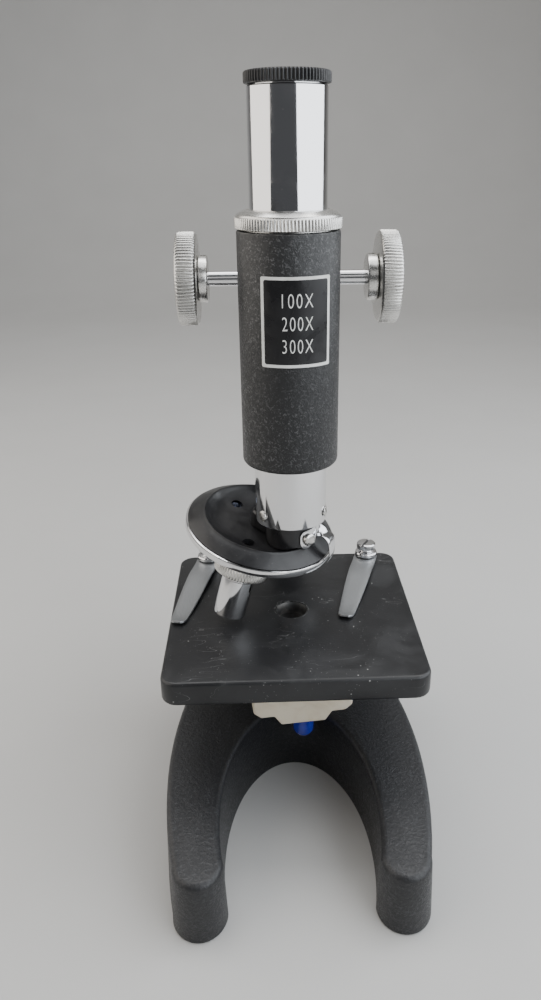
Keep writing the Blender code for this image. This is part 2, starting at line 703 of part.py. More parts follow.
def make_focus():
    """The shaft with its pinion, and a knurled wheel and hub at each end."""
    axis = new_empty("focus_axis", (0.0, SHAFT_Y, SHAFT_Z), Matrix.Identity(3), ROOT)
    left_end, right_end = (side * (outer - 1.5) for _, side, _, _, outer in KNOBS)
    lathe("focus_shaft", rod_profile(SHAFT_RADIUS, left_end, right_end, GAP), CHROME, (0, 0, 0),
          ALONG_X, axis, MEDIUM)
    gear = outline_solid("focus_pinion", gear_outline(), -3.6, 3.6, BRIGHT_STEEL, (0, 0, 0),
                         ALONG_X @ turn_about("Z", math.pi / PINION_TEETH), axis)
    cut(gear, cutting_rod("pinion_bore", SHAFT_RADIUS + 0.02, -9.0, 9.0, (0, 0, 0), ALONG_X, axis,
                          MEDIUM))
    bore = SHAFT_RADIUS + RUNNING_GAP
    for name, side, hub_end, inner, outer in KNOBS:
        outward = ALONG_X if side > 0 else ALONG_MINUS_X
        lathe("knob_wheel_" + name, tube_profile(KNOB_RADIUS, bore, inner, outer, KNOB_EDGE),
              SATIN_METAL, (0, 0, 0), outward, axis, FINE)
        hub = lathe("knob_hub_" + name,
                    tube_profile(KNOB_HUB_RADIUS, bore, hub_end, inner - GAP, 0.35),
                    SATIN_METAL, (0, 0, 0), outward, axis, MEDIUM)
        middle = (side * (hub_end + inner - GAP) / 2, 0.0, 0.0)
        cut(hub, cutting_rod("set_screw_hole_" + name, 1.0, SHAFT_RADIUS, 9.0, middle, None, axis))
        lathe("knob_set_screw_" + name, rod_profile(0.85, bore + 0.2, KNOB_HUB_RADIUS - 0.5, 0.15),
              BRIGHT_STEEL, middle, None, axis, COARSE)


# The sliding main tube -----------------------------------------------------------------------

def make_main_tube():
    """The chromed tube that carries the eyepiece at its top and the nosepiece at its foot."""
    tube = lathe(
        "main_tube",
        [
            (TUBE_RADIUS - 0.2, TUBE_TOP), (TUBE_RADIUS, TUBE_TOP - 0.2), (TUBE_RADIUS, 141.0),
            (NOSE_RADIUS, 140.6), (NOSE_RADIUS, TUBE_BOTTOM + 0.3),
            (NOSE_RADIUS - 0.3, TUBE_BOTTOM), (TUBE_BORE, TUBE_BOTTOM), (TUBE_BORE, TUBE_TOP),
        ],
        CHROME,
    )
    for name, angle in BOSS_SCREWS:
        turn = turn_about("Z", angle) @ ALONG_X
        cut(tube, cutting_rod("nose_hole_" + name, 1.3, 6.0, 14.0, (0.0, 0.0, BOSS_SCREW_Z), turn))


def make_rack():
    """The toothed rack, soldered along the back of the main tube."""
    pitch = math.pi * GEAR_MODULE
    count = int((RACK_TOP - RACK_BOTTOM) / pitch)
    tip = RACK_PITCH_Y + 0.8 * GEAR_MODULE
    root = RACK_PITCH_Y - 1.1 * GEAR_MODULE
    # A gap between two teeth of the rack faces the shaft, where the pinion has a tooth.
    lowest = SHAFT_Z - pitch * (int((SHAFT_Z - RACK_BOTTOM) / pitch) - 0.5)
    back = NOSE_RADIUS + 0.05
    points = [(back, RACK_TOP), (back, RACK_BOTTOM), (root, RACK_BOTTOM)]
    for tooth in range(count - 1):
        middle = lowest + pitch * tooth
        for y, share in ((root, -0.34), (tip, -0.13), (tip, 0.13), (root, 0.34)):
            points.append((y, middle + share * pitch))
    points.append((root, RACK_TOP))
    rack = outline_solid("focus_rack", points, -RACK_WIDTH / 2, RACK_WIDTH / 2, BRIGHT_STEEL,
                         (0, 0, 0), UPRIGHT_YZ)
    cut(rack, cutting_rod("rack_seat", back, 100.0, 200.0, steps=FINE))


def turret_frame():
    """The turret's axis system: its X runs towards the tube and its Z up its own axis."""
    heading = turn_about("Z", TURRET_HEADING)
    return heading @ turn_about("Y", TURRET_TILT)


def turret_place():
    return (-TURRET_OFFSET * math.cos(TURRET_HEADING), -TURRET_OFFSET * math.sin(TURRET_HEADING),
            TURRET_Z)


def make_boss():
    """The black plug in the foot of the main tube. Its sloping face carries the turret."""
    boss = lathe(
        "nosepiece_boss",
        [
            (0.0, TUBE_BOTTOM + 6.5), (TUBE_BORE - 0.1, TUBE_BOTTOM + 6.5),
            (TUBE_BORE - 0.1, TUBE_BOTTOM + 0.5), (BOSS_RADIUS, TUBE_BOTTOM + 0.5),
            (BOSS_RADIUS, 80.0), (0.0, 80.0),
        ],
        SATIN_BLACK, steps=FINE,
    )
    frame = turret_frame()
    centre = turret_place()
    middle = Vector(centre) + frame @ Vector((LENS_CIRCLE / 2, 0.0, DISH_FLOOR + 2.4))
    arm = block("pivot_arm", (LENS_CIRCLE, 7.4, 5.0), SATIN_BLACK, middle, frame)
    pad = lathe("pivot_pad", rod_profile(3.7, 2.8, 8.4), SATIN_BLACK, centre, frame, steps=MEDIUM)
    light = cutting_rod("light_path", 4.2, 70.0, 120.0, steps=MEDIUM)
    under = lathe(
        "boss_underside",
        [
            (0.0, DISH_FLOOR + GAP), (DISH_RADIUS - 7.8, DISH_FLOOR + GAP),
            (DISH_RADIUS - 4.7, DISH_FLOOR + 0.75), (DISH_RADIUS - 2.4, DISH_FLOOR + 1.75),
            (DISH_RADIUS - 0.8, DISH_TOP + GAP), (60.0, DISH_TOP + GAP), (60.0, -40.0), (0.0, -40.0),
        ],
        SATIN_BLACK, centre, frame, steps=FINE,
    )
    join(boss, arm, pad)
    cut(boss, light, under)
    cut(boss, cutting_rod("pivot_thread", PIVOT_RADIUS + RUNNING_GAP, 0.0, 12.0, centre, frame,
                          None, MEDIUM))
    for name, angle in BOSS_SCREWS:
        turn = turn_about("Z", angle) @ ALONG_X
        screw_place = Vector((0.0, 0.0, BOSS_SCREW_Z))
        cut(boss, cutting_rod("boss_thread_" + name, 1.0, 6.0, 14.0, screw_place, turn))
        screw = lathe(
            "nosepiece_screw_" + name,
            [(0.0, 11.7), (1.3, 11.6), (1.7, 11.2), (0.8, 11.15), (0.8, 7.0), (0.0, 7.0)],
            BRIGHT_STEEL, screw_place, turn, steps=COARSE,
        )
        head = screw_place + turn @ Vector((0.0, 0.0, 11.75))
        cut(screw, block("nose_slot_" + name, (3.6, 0.5, 0.7), CRINKLE, head, turn))
    pivot = lathe(
        "turret_pivot_screw",
        [
            (0.0, 7.6), (PIVOT_RADIUS - 0.3, 7.6), (PIVOT_RADIUS, 7.3), (PIVOT_RADIUS, -GAP),
            (3.6, -GAP), (3.6, -1.4), (3.0, -2.0), (0.0, -2.0),
        ],
        BRIGHT_STEEL, centre, frame, steps=MEDIUM,
    )
    head = Vector(centre) + frame @ Vector((0.0, 0.0, -2.0))
    cut(pivot, block("pivot_slot", (9.0, 0.9, 1.4), CRINKLE, head, frame))


def spring_rows():
    """The leaf's width from its ear to its tip, as pairs of points on its two long edges."""
    # The ear wraps the boss: turn round the boss, and the heights of its two edges.
    ear = (
        (-72, 89.6, 91.6), (-66, 87.9, 93.0), (-54, 87.5, 93.4), (-42, 87.9, 93.6),
        (-30, 88.4, 94.0), (-16, 89.0, 94.2),
    )
    around = BOSS_RADIUS + 0.25
    rows = []
    for degrees, low, high in ear:
        x, y = arc((0.0, 0.0), around, math.radians(degrees), 0.0, 1)[0]
        rows.append((Vector((x, y, low)), Vector((x, y, high))))
    # The free end bends down over the rim: reach past the rim and height above its underside.
    frame = turret_frame()
    centre = Vector(turret_place())
    for past, height in ((-2.8, 9.3), (-0.4, 8.0), (0.95, 4.0), (0.75, 1.4)):
        pair = []
        for degrees in (6.0, 19.0 - 0.9 * (9.3 - height)):
            x, y = arc((0.0, 0.0), RIM_RADIUS + past, math.radians(degrees), 0.0, 1)[0]
            pair.append(centre + frame @ Vector((x, y, height)))
        rows.append(tuple(pair))
    return rows


def make_click_spring():
    """A leaf spring screwed to the boss. It bends out over the rim and clicks on its edge."""
    mesh = bpy.data.meshes.new("click_spring")
    shape = bmesh.new()
    rows = [[shape.verts.new(point * MM) for point in row] for row in spring_rows()]
    for near, far in zip(rows, rows[1:]):
        shape.faces.new((near[0], far[0], far[1], near[1]))
    shape.normal_update()
    shape.to_mesh(mesh)
    shape.free()
    leaf = place(bpy.data.objects.new("click_spring", mesh), CHROME, (0, 0, 0), None, None)
    solid = leaf.modifiers.new("thickness", "SOLIDIFY")
    solid.thickness = SPRING_THICKNESS * MM
    solid.offset = 1.0
    turn = turn_about("Z", SPRING_SCREW_TURN) @ ALONG_X
    middle = Vector((0.0, 0.0, SPRING_SCREW_Z))
    cut(leaf, cutting_rod("spring_hole", 1.2, 5.0, 14.0, middle, turn))
    cut(bpy.data.objects["nosepiece_boss"],
        cutting_rod("spring_thread", 1.0, 5.0, 14.0, middle, turn))
    screw = lathe(
        "click_spring_screw",
        [(0.0, 10.3), (1.5, 10.1), (2.1, 9.5), (2.1, 9.0), (0.8, 9.0), (0.8, 5.6), (0.0, 5.6)],
        CHROME, middle, turn, steps=COARSE,
    )
    head = middle + turn @ Vector((0.0, 0.0, 10.3))
    cut(screw, block("spring_slot", (5.0, 0.6, 0.8), CRINKLE, head, turn))


# The turret ----------------------------------------------------------------------------------

def make_turret():
    """The dished cone and its chromed rim, with three objectives screwed in from below."""
    axis = new_empty("turret_axis", turret_place(), turret_frame(), ROOT)
    cone = lathe(
        "turret_cone",
        [
            (DISH_RADIUS - 0.6, DISH_TOP), (DISH_RADIUS, DISH_TOP - 0.25),
            (RIM_RADIUS - 0.55, RIM_HEIGHT + 0.35), (RIM_RADIUS - RIM_WIDTH - 0.1, RIM_HEIGHT + 0.3),
            (RIM_RADIUS - RIM_WIDTH - 0.1, 0.4), (PIVOT_RADIUS + 0.08, 0.4),
            (PIVOT_RADIUS + 0.08, DISH_FLOOR), (DISH_RADIUS - 7.4, DISH_FLOOR),
            (DISH_RADIUS - 4.4, DISH_FLOOR + 0.4), (DISH_RADIUS - 2.0, DISH_FLOOR + 1.4),
        ],
        GLOSS_BLACK, (0, 0, 0), None, axis, FINE,
    )
    lathe("turret_rim",
          tube_profile(RIM_RADIUS, RIM_RADIUS - RIM_WIDTH, 0.0, RIM_HEIGHT, 0.25),
          CHROME, (0, 0, 0), None, axis, FINE)
    for name, angle, length in OBJECTIVES:
        spot = Vector((LENS_CIRCLE * math.cos(angle), LENS_CIRCLE * math.sin(angle), 0.0))
        # An objective leans out by the turret's own tilt, so the one in use stands upright.
        lean = turn_about("Z", angle) @ turn_about("Y", -TURRET_TILT)
        cut(cone, cutting_rod("objective_seat_" + name, 4.6, -6.0, 1.9, spot, lean, axis, MEDIUM))
        cut(cone, cutting_rod("light_hole_" + name, LIGHT_HOLE_RADIUS, -6.0, 9.0, spot, lean, axis))
        barrel = lathe(
            "objective_barrel_" + name,
            [
                (4.4, 1.6), (4.4, -RING_TOP + GAP), (BARREL_RADIUS, -RING_TOP + GAP),
                (BARREL_RADIUS, -length + 0.4), (BARREL_RADIUS - 0.4, -length), (2.6, -length),
                (2.2, -length + 0.8), (2.2, -length + 2.2), (BARREL_BORE, -length + 2.2),
                (BARREL_BORE, 1.6),
            ],
            CHROME, spot, lean, axis, MEDIUM,
        )
        lathe("objective_ring_" + name,
              tube_profile(RING_RADIUS, BARREL_RADIUS + 0.05, -RING_BOTTOM, -RING_TOP, 0.35),
              SATIN_METAL, spot, lean, axis, FINE)
        lathe(
            "objective_lens_" + name,
            [(0.0, -length + 4.4), (2.2, -length + 3.9), (BARREL_BORE - 0.1, -length + 3.2),
             (BARREL_BORE - 0.1, -length + 2.4), (0.0, -length + 2.4)],
            GLASS, spot, lean, axis, COARSE,
        )


# The eyepiece --------------------------------------------------------------------------------

def make_eyepiece():
    """A push-in eyepiece: a fluted cap, a barrel and its two lenses."""
    lathe(
        "eyepiece_cap",
        [
            (CAP_RADIUS - 0.5, CAP_TOP), (CAP_RADIUS, CAP_TOP - 0.5), (CAP_RADIUS, CAP_BOTTOM + 0.5),
            (CAP_RADIUS - 0.35, CAP_BOTTOM + 0.25), (EYEPIECE_RADIUS + 0.1, CAP_BOTTOM + 0.25),
            (EYEPIECE_RADIUS + 0.1, CAP_TOP - 1.2), (4.0, CAP_TOP - 1.2), (4.6, CAP_TOP - 0.6),
            (7.6, CAP_TOP),
        ],
        CAP_PLASTIC, steps=FINE,
    )
    lathe("eyepiece_barrel",
          [
              (EYEPIECE_RADIUS, CAP_TOP - 1.5), (EYEPIECE_RADIUS, EYEPIECE_BOTTOM),
              (7.0, EYEPIECE_BOTTOM), (7.0, EYEPIECE_BOTTOM + 1.0),
              (EYEPIECE_BORE, EYEPIECE_BOTTOM + 1.0), (EYEPIECE_BORE, CAP_TOP - 1.5),
          ],
          CHROME, steps=FINE)
    lathe("eye_lens",
          [(0.0, CAP_TOP - 2.0), (EYEPIECE_BORE - 0.1, CAP_TOP - 2.6),
           (EYEPIECE_BORE - 0.1, CAP_TOP - 4.0), (0.0, CAP_TOP - 4.0)],
          GLASS, steps=MEDIUM)
    lathe("field_lens",
          [(0.0, EYEPIECE_BOTTOM + 4.4), (EYEPIECE_BORE - 0.1, EYEPIECE_BOTTOM + 2.6),
           (EYEPIECE_BORE - 0.1, EYEPIECE_BOTTOM + 1.3), (0.0, EYEPIECE_BOTTOM + 1.3)],
          GLASS, steps=MEDIUM)


# The lamp and mirror -------------------------------------------------------------------------

def stepped_housing():
    """The housing's front view, as (x, z) from its pivot, with bevelled lower corners."""
    half = LAMP_WIDTH / 2
    step = LAMP_STEP_WIDTH / 2
    right = [
        (half, 3.4), (half, -3.2), (half - 2.4, -5.2), (step + 2.2, -5.2), (step, -8.6),
    ]
    return [(-x, z) for x, z in right] + [(x, z) for x, z in reversed(right)]


def make_yoke(swivel):
    """The bent strip that hangs the housing, with the screw on which it swivels."""
    outer = LAMP_WIDTH / 2 + YOKE_CLEARANCE + YOKE_THICKNESS
    inner = outer - YOKE_THICKNESS
    top = STAGE_BOTTOM - LAMP_PIVOT_Z - YOKE_DROP
    under = top - 2.0
    outline = [
        (outer, -3.0), (outer, top), (-outer, top), (-outer, -3.0), (-inner, -3.0),
        (-inner, under), (inner, under), (inner, -3.0),
    ]
    yoke = outline_solid("lamp_yoke", outline, -YOKE_DEPTH / 2, YOKE_DEPTH / 2, BRIGHT_STEEL,
                         (0, 0, 0), UPRIGHT_XZ, swivel)
    join(yoke, block("yoke_strap", (9.0, 9.0, 2.0), BRIGHT_STEEL, (0.0, 0.0, top - 1.0), None, swivel))
    cut(yoke, cutting_rod("yoke_hole", SWIVEL_SCREW_RADIUS + GAP, 5.0, 25.0, (0, 0, 0), None, swivel))
    for side in (-1, 1):
        cut(yoke, cutting_rod("yoke_pivot_%d" % side, 1.3, side * outer - 5.0, side * outer + 5.0,
                              (0, 0, 0), ALONG_X, swivel))
    head = under - GAP
    screw = lathe(
        "lamp_swivel_screw",
        [
            (0.0, top + 5.5), (SWIVEL_SCREW_RADIUS, top + 5.5), (SWIVEL_SCREW_RADIUS, head),
            (2.9, head), (2.9, head - 1.2), (2.3, head - 1.8), (0.0, head - 1.8),
        ],
        BRIGHT_STEEL, (*LAMP_PLACE, LAMP_PIVOT_Z), steps=COARSE,
    )
    cut(screw, block("swivel_slot", (7.0, 0.8, 1.2), CRINKLE,
                     (*LAMP_PLACE, LAMP_PIVOT_Z + head - 1.8)))
    return outer


def make_lamp():
    """The housing that tilts in its yoke, with the mirror above and the bulb below."""
    swivel = new_empty("lamp_swivel_axis", (*LAMP_PLACE, LAMP_PIVOT_Z), turn_about("Z", LAMP_TURN),
                       ROOT)
    outer = make_yoke(swivel)
    tilt = new_empty("lamp_tilt_axis", (0, 0, 0), Matrix.Identity(3), swivel)
    housing = outline_solid("lamp_housing", stepped_housing(), -LAMP_DEPTH / 2, LAMP_DEPTH / 2,
                            CREAM, (0, 0, 0), UPRIGHT_XZ, tilt)
    cut(housing, cutting_rod("mirror_seat", MIRROR_RADIUS + 0.2, 1.9, 8.0, (0, 0, 0), None, tilt,
                             MEDIUM))
    cut(housing, cutting_rod("bulb_seat", 2.6, -12.0, -2.0, (BULB_X, 0, 0), None, tilt, MEDIUM))
    side_face = LAMP_WIDTH / 2
    head = outer + 0.4
    for name, outward in (("left", ALONG_MINUS_X), ("right", ALONG_X)):
        cut(housing, cutting_rod("trunnion_hole_" + name, 1.15, side_face - 4.0, side_face + 4.0,
                                 (0, 0, 0), outward, tilt))
        lathe(
            "lamp_pin_" + name,
            [
                (0.0, head + 1.5), (2.0, head + 1.5), (2.4, head + 1.1), (2.4, head), (1.0, head),
                (1.0, side_face - 3.4), (0.0, side_face - 3.4),
            ],
            BRIGHT_STEEL, (0, 0, 0), outward, tilt, COARSE,
        )
    lathe("lamp_mirror", rod_profile(MIRROR_RADIUS, 2.2, 3.2, 0.2), SILVERED, (0, 0, 0), None, tilt,
          MEDIUM)
    bulb = [(0.0, -3.0), (2.4, -3.0), (2.4, -9.0), (BULB_RADIUS - 0.3, -9.0), (BULB_RADIUS, -9.6)]
    bulb += arc((0.0, BULB_CENTRE_Z), BULB_RADIUS, 0.0, -math.pi / 2, 6)
    bulb[-1] = (0.0, BULB_CENTRE_Z - BULB_RADIUS)
    lathe("lamp_bulb", bulb, BLUE_GLASS, (BULB_X, 0, 0), None, tilt, MEDIUM)


make_base()
make_tilt_pin()
make_limb()
make_pinion_cover()
make_body_tube()
make_label()
make_collar()
make_stage()
make_clip("left", -CLIP_POST[0], CLIP_TURN_LEFT)
make_clip("right", CLIP_POST[0], CLIP_TURN_RIGHT)
make_focus()
make_main_tube()
make_rack()
make_boss()
make_click_spring()
make_turret()
make_eyepiece()
make_lamp()
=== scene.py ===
import json
import math

import bmesh
import bpy
from mathutils import Matrix, Vector

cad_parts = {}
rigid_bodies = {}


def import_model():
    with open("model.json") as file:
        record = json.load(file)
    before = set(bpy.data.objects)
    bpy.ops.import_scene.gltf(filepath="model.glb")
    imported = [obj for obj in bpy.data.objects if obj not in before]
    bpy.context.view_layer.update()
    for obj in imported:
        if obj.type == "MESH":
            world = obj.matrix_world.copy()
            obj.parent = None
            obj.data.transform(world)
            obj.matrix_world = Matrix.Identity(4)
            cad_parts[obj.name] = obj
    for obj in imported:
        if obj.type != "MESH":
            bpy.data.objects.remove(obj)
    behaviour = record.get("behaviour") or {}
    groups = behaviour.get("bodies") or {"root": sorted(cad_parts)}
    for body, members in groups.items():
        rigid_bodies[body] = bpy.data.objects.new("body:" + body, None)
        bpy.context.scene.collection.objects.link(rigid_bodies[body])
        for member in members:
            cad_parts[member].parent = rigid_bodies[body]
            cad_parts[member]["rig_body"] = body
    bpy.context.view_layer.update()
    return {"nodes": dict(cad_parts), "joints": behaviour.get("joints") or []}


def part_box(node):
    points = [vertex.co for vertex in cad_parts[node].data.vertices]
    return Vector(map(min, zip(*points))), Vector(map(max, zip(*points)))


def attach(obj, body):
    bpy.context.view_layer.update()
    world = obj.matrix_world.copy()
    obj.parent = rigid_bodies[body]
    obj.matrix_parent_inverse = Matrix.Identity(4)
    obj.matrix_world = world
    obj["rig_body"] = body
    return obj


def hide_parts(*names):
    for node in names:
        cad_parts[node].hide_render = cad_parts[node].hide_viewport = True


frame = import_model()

# Looks of the student microscope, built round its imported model. Sizes are in millimetres and
# MM turns them into metres. Places are measured from the foot of the optical axis.
MM = 0.001
AXIS_FOOT = sum(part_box("main_tube"), Vector()) / 2
AXIS_FOOT.z = 0.0
JOINTS = {joint["name"]: joint for joint in frame["joints"]}
FINE = 112
PLAIN = 64
SMALL = 32


# Places ----------

def moved(x, y, z):
    return Matrix.Translation(Vector((x, y, z)) * MM)


def raised(z):
    return moved(0.0, 0.0, z)


def turned_by(axis, degrees):
    return Matrix.Rotation(math.radians(degrees), 4, axis)


AXIS = Matrix.Translation(AXIS_FOOT)
ALONG_X = turned_by("Y", 90.0)
ALONG_MINUS_X = turned_by("Y", -90.0)
ALONG_Y = turned_by("X", -90.0)
UPRIGHT_YZ = Matrix(((0, 0, 1, 0), (1, 0, 0, 0), (0, 1, 0, 0), (0, 0, 0, 1)))
UPRIGHT_XZ = turned_by("X", 90.0)


def joint_place(name):
    """A joint's point in the row frame."""
    return Matrix.Translation(Vector(JOINTS[name]["pos_m"]))


def span(node):
    """A node's lowest and highest corners in millimetres, from the foot of the axis."""
    low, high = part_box(node)
    return (low - AXIS_FOOT) / MM, (high - AXIS_FOOT) / MM


def turret_place():
    """The turret's centre, with Z up its own axis and X towards the optical axis."""
    up = Vector(JOINTS["turret_turn"]["axis"]).normalized()
    centre = Vector(JOINTS["turret_turn"]["pos_m"])
    inward = Vector((AXIS_FOOT.x - centre.x, AXIS_FOOT.y - centre.y, 0.0))
    along = (inward - up * inward.dot(up)).normalized()
    side = up.cross(along)
    turn = Matrix((along, side, up)).transposed().to_4x4()
    return Matrix.Translation(centre) @ turn


SHAFT = joint_place("focus_turn")
PIN = joint_place("inclination")
TURRET = turret_place()
tilt_axis = JOINTS["lamp_tilt"]["axis"]
LAMP = joint_place("lamp_tilt") @ Matrix.Rotation(math.atan2(tilt_axis[1], tilt_axis[0]), 4, "Z")


# Shapes ----------

def mesh_object(name, points, faces):
    mesh = bpy.data.meshes.new(name)
    mesh.from_pydata(points, [], faces)
    obj = bpy.data.objects.new(name, mesh)
    bpy.context.scene.collection.objects.link(obj)
    return obj


def bake(obj):
    """Replaces an object's mesh with what its modifiers make of it."""
    bpy.context.view_layer.update()
    graph = bpy.context.evaluated_depsgraph_get()
    mesh = bpy.data.meshes.new_from_object(obj.evaluated_get(graph))
    obj.modifiers.clear()
    old = obj.data
    obj.data = mesh
    bpy.data.meshes.remove(old)
    return obj


def boolean(obj, operation, *tools):
    for tool in tools:
        modifier = obj.modifiers.new(tool.name, "BOOLEAN")
        modifier.operation = operation
        modifier.object = tool
    bake(obj)
    for tool in tools:
        bpy.data.objects.remove(tool)
    return obj


def cut(obj, *tools):
    return boolean(obj, "DIFFERENCE", *tools)


def join(obj, *tools):
    return boolean(obj, "UNION", *tools)


def bevelled(obj, width, segments=3, angle=40.0):
    modifier = obj.modifiers.new("edges", "BEVEL")
    modifier.width = width * MM
    modifier.segments = segments
    modifier.angle_limit = math.radians(angle)
    return bake(obj)


def turned(name, profile, place=AXIS, steps=FINE, flutes=0):
    """Turns (radius, height[, flute depth]) rows about Z, going down the outer side.

    A profile that starts on the axis is a solid, and any other is a ring.
    """
    points = []
    rings = []
    for radius, height, *flute in profile:
        if radius == 0.0:
            rings.append([len(points)])
            points.append(place @ Vector((0.0, 0.0, height * MM)))
            continue
        rings.append(list(range(len(points), len(points) + steps)))
        for i in range(steps):
            turn = 2 * math.pi * i / steps
            groove = 1.0 - abs(math.sin(flutes * turn / 2)) if flute else 0.0
            reach = (radius - (flute[0] if flute else 0.0) * groove) * MM
            around = (reach * math.cos(turn), reach * math.sin(turn))
            points.append(place @ Vector((*around, height * MM)))
    pairs = list(zip(rings, rings[1:]))
    if len(rings[0]) > 1:
        pairs.append((rings[-1], rings[0]))
    faces = []
    for high, low in pairs:
        for i in range(steps):
            j = (i + 1) % steps
            if len(high) == 1:
                faces.append((high[0], low[i], low[j]))
            elif len(low) == 1:
                faces.append((high[i], low[0], high[j]))
            else:
                faces.append((high[i], low[i], low[j], high[j]))
    return mesh_object(name, points, faces)


def rod(name, radius, bottom, top, place=AXIS, steps=SMALL, edge=0.0):
    rows = [(0.0, top), (radius - edge, top), (radius, top - edge), (radius, bottom + edge),
            (radius - edge, bottom), (0.0, bottom)]
    if not edge:
        rows = [(0.0, top), (radius, top), (radius, bottom), (0.0, bottom)]
    return turned(name, rows, place, steps)


def prism(name, outline, bottom, top, place=AXIS):
    """A flat outline, anticlockwise in XY, raised from bottom to top."""
    count = len(outline)
    points = [place @ Vector((x * MM, y * MM, z * MM)) for z in (bottom, top) for x, y in outline]
    faces = [tuple(reversed(range(count))), tuple(range(count, 2 * count))]
    for i in range(count):
        j = (i + 1) % count
        faces.append((i, j, count + j, count + i))
    return mesh_object(name, points, faces)


def block(name, size, place, edge=0.0):
    x, y = size[0] / 2, size[1] / 2
    corners = [(-x, -y), (x, -y), (x, y), (-x, y)]
    obj = prism(name, corners, -size[2] / 2, size[2] / 2, place)
    return bevelled(obj, edge) if edge else obj


def arc(centre, radius, start, end, count):
    """Points on a circle, from one angle to another, in degrees."""
    angles = [math.radians(start + (end - start) * i / count) for i in range(count + 1)]
    return [(centre[0] + radius * math.cos(a), centre[1] + radius * math.sin(a)) for a in angles]


def smooth_line(points, count):
    """Points on a smooth line through the given ones."""
    line = []
    last = len(points) - 1
    for i in range(last):
        near = (max(i - 1, 0), i, i + 1, min(i + 2, last))
        before, here, there, after = (points[k] for k in near)
        for step in range(count):
            t = step / count
            line.append((2 * here + (there - before) * t
                         + (2 * before - 5 * here + 4 * there - after) * t * t
                         + (3 * here - before - 3 * there + after) * t ** 3) / 2)
    return line + [points[-1]]


def finished(obj, look, *nodes, angle=32.0):
    """Gives a piece its look and shading. It rides with the body of the first node it stands for,
    and the nodes it stands for are hidden.
    """
    obj.data.materials.clear()
    obj.data.materials.append(look)
    obj.data.shade_smooth()
    obj.data.set_sharp_from_angle(angle=math.radians(angle))
    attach(obj, frame["nodes"][nodes[0]]["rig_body"])
    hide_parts(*nodes)
    return obj


def turned_piece(node, look, profile, place=AXIS, steps=FINE, flutes=0):
    return finished(turned(node + "_shown", profile, place, steps, flutes), look, node)


def slotted(obj, length, width, depth, place):
    """Cuts a screwdriver slot, centred on its place."""
    return cut(obj, block("slot", (length, width, depth), place))


def domed_screw(node, place, radius, height, slot_turn, look, shank=1.0):
    """A slotted screw with a domed head that stands on the plane Z = 0 of its place."""
    rows = [(0.0, height)]
    for i in range(1, 7):
        turn = math.radians(15.0 * i)
        rows.append((radius * math.sin(turn), height * (0.45 + 0.55 * math.cos(turn))))
    rows += [(radius, 0.0), (shank, 0.0), (shank, -2.0), (0.0, -2.0)]
    screw = turned(node + "_shown", rows, place, SMALL)
    slot_place = place @ raised(height) @ turned_by("Z", slot_turn)
    slotted(screw, 4 * radius, 0.3 * radius, 0.9 * height, slot_place)
    return finished(screw, look, node)


# Looks ----------

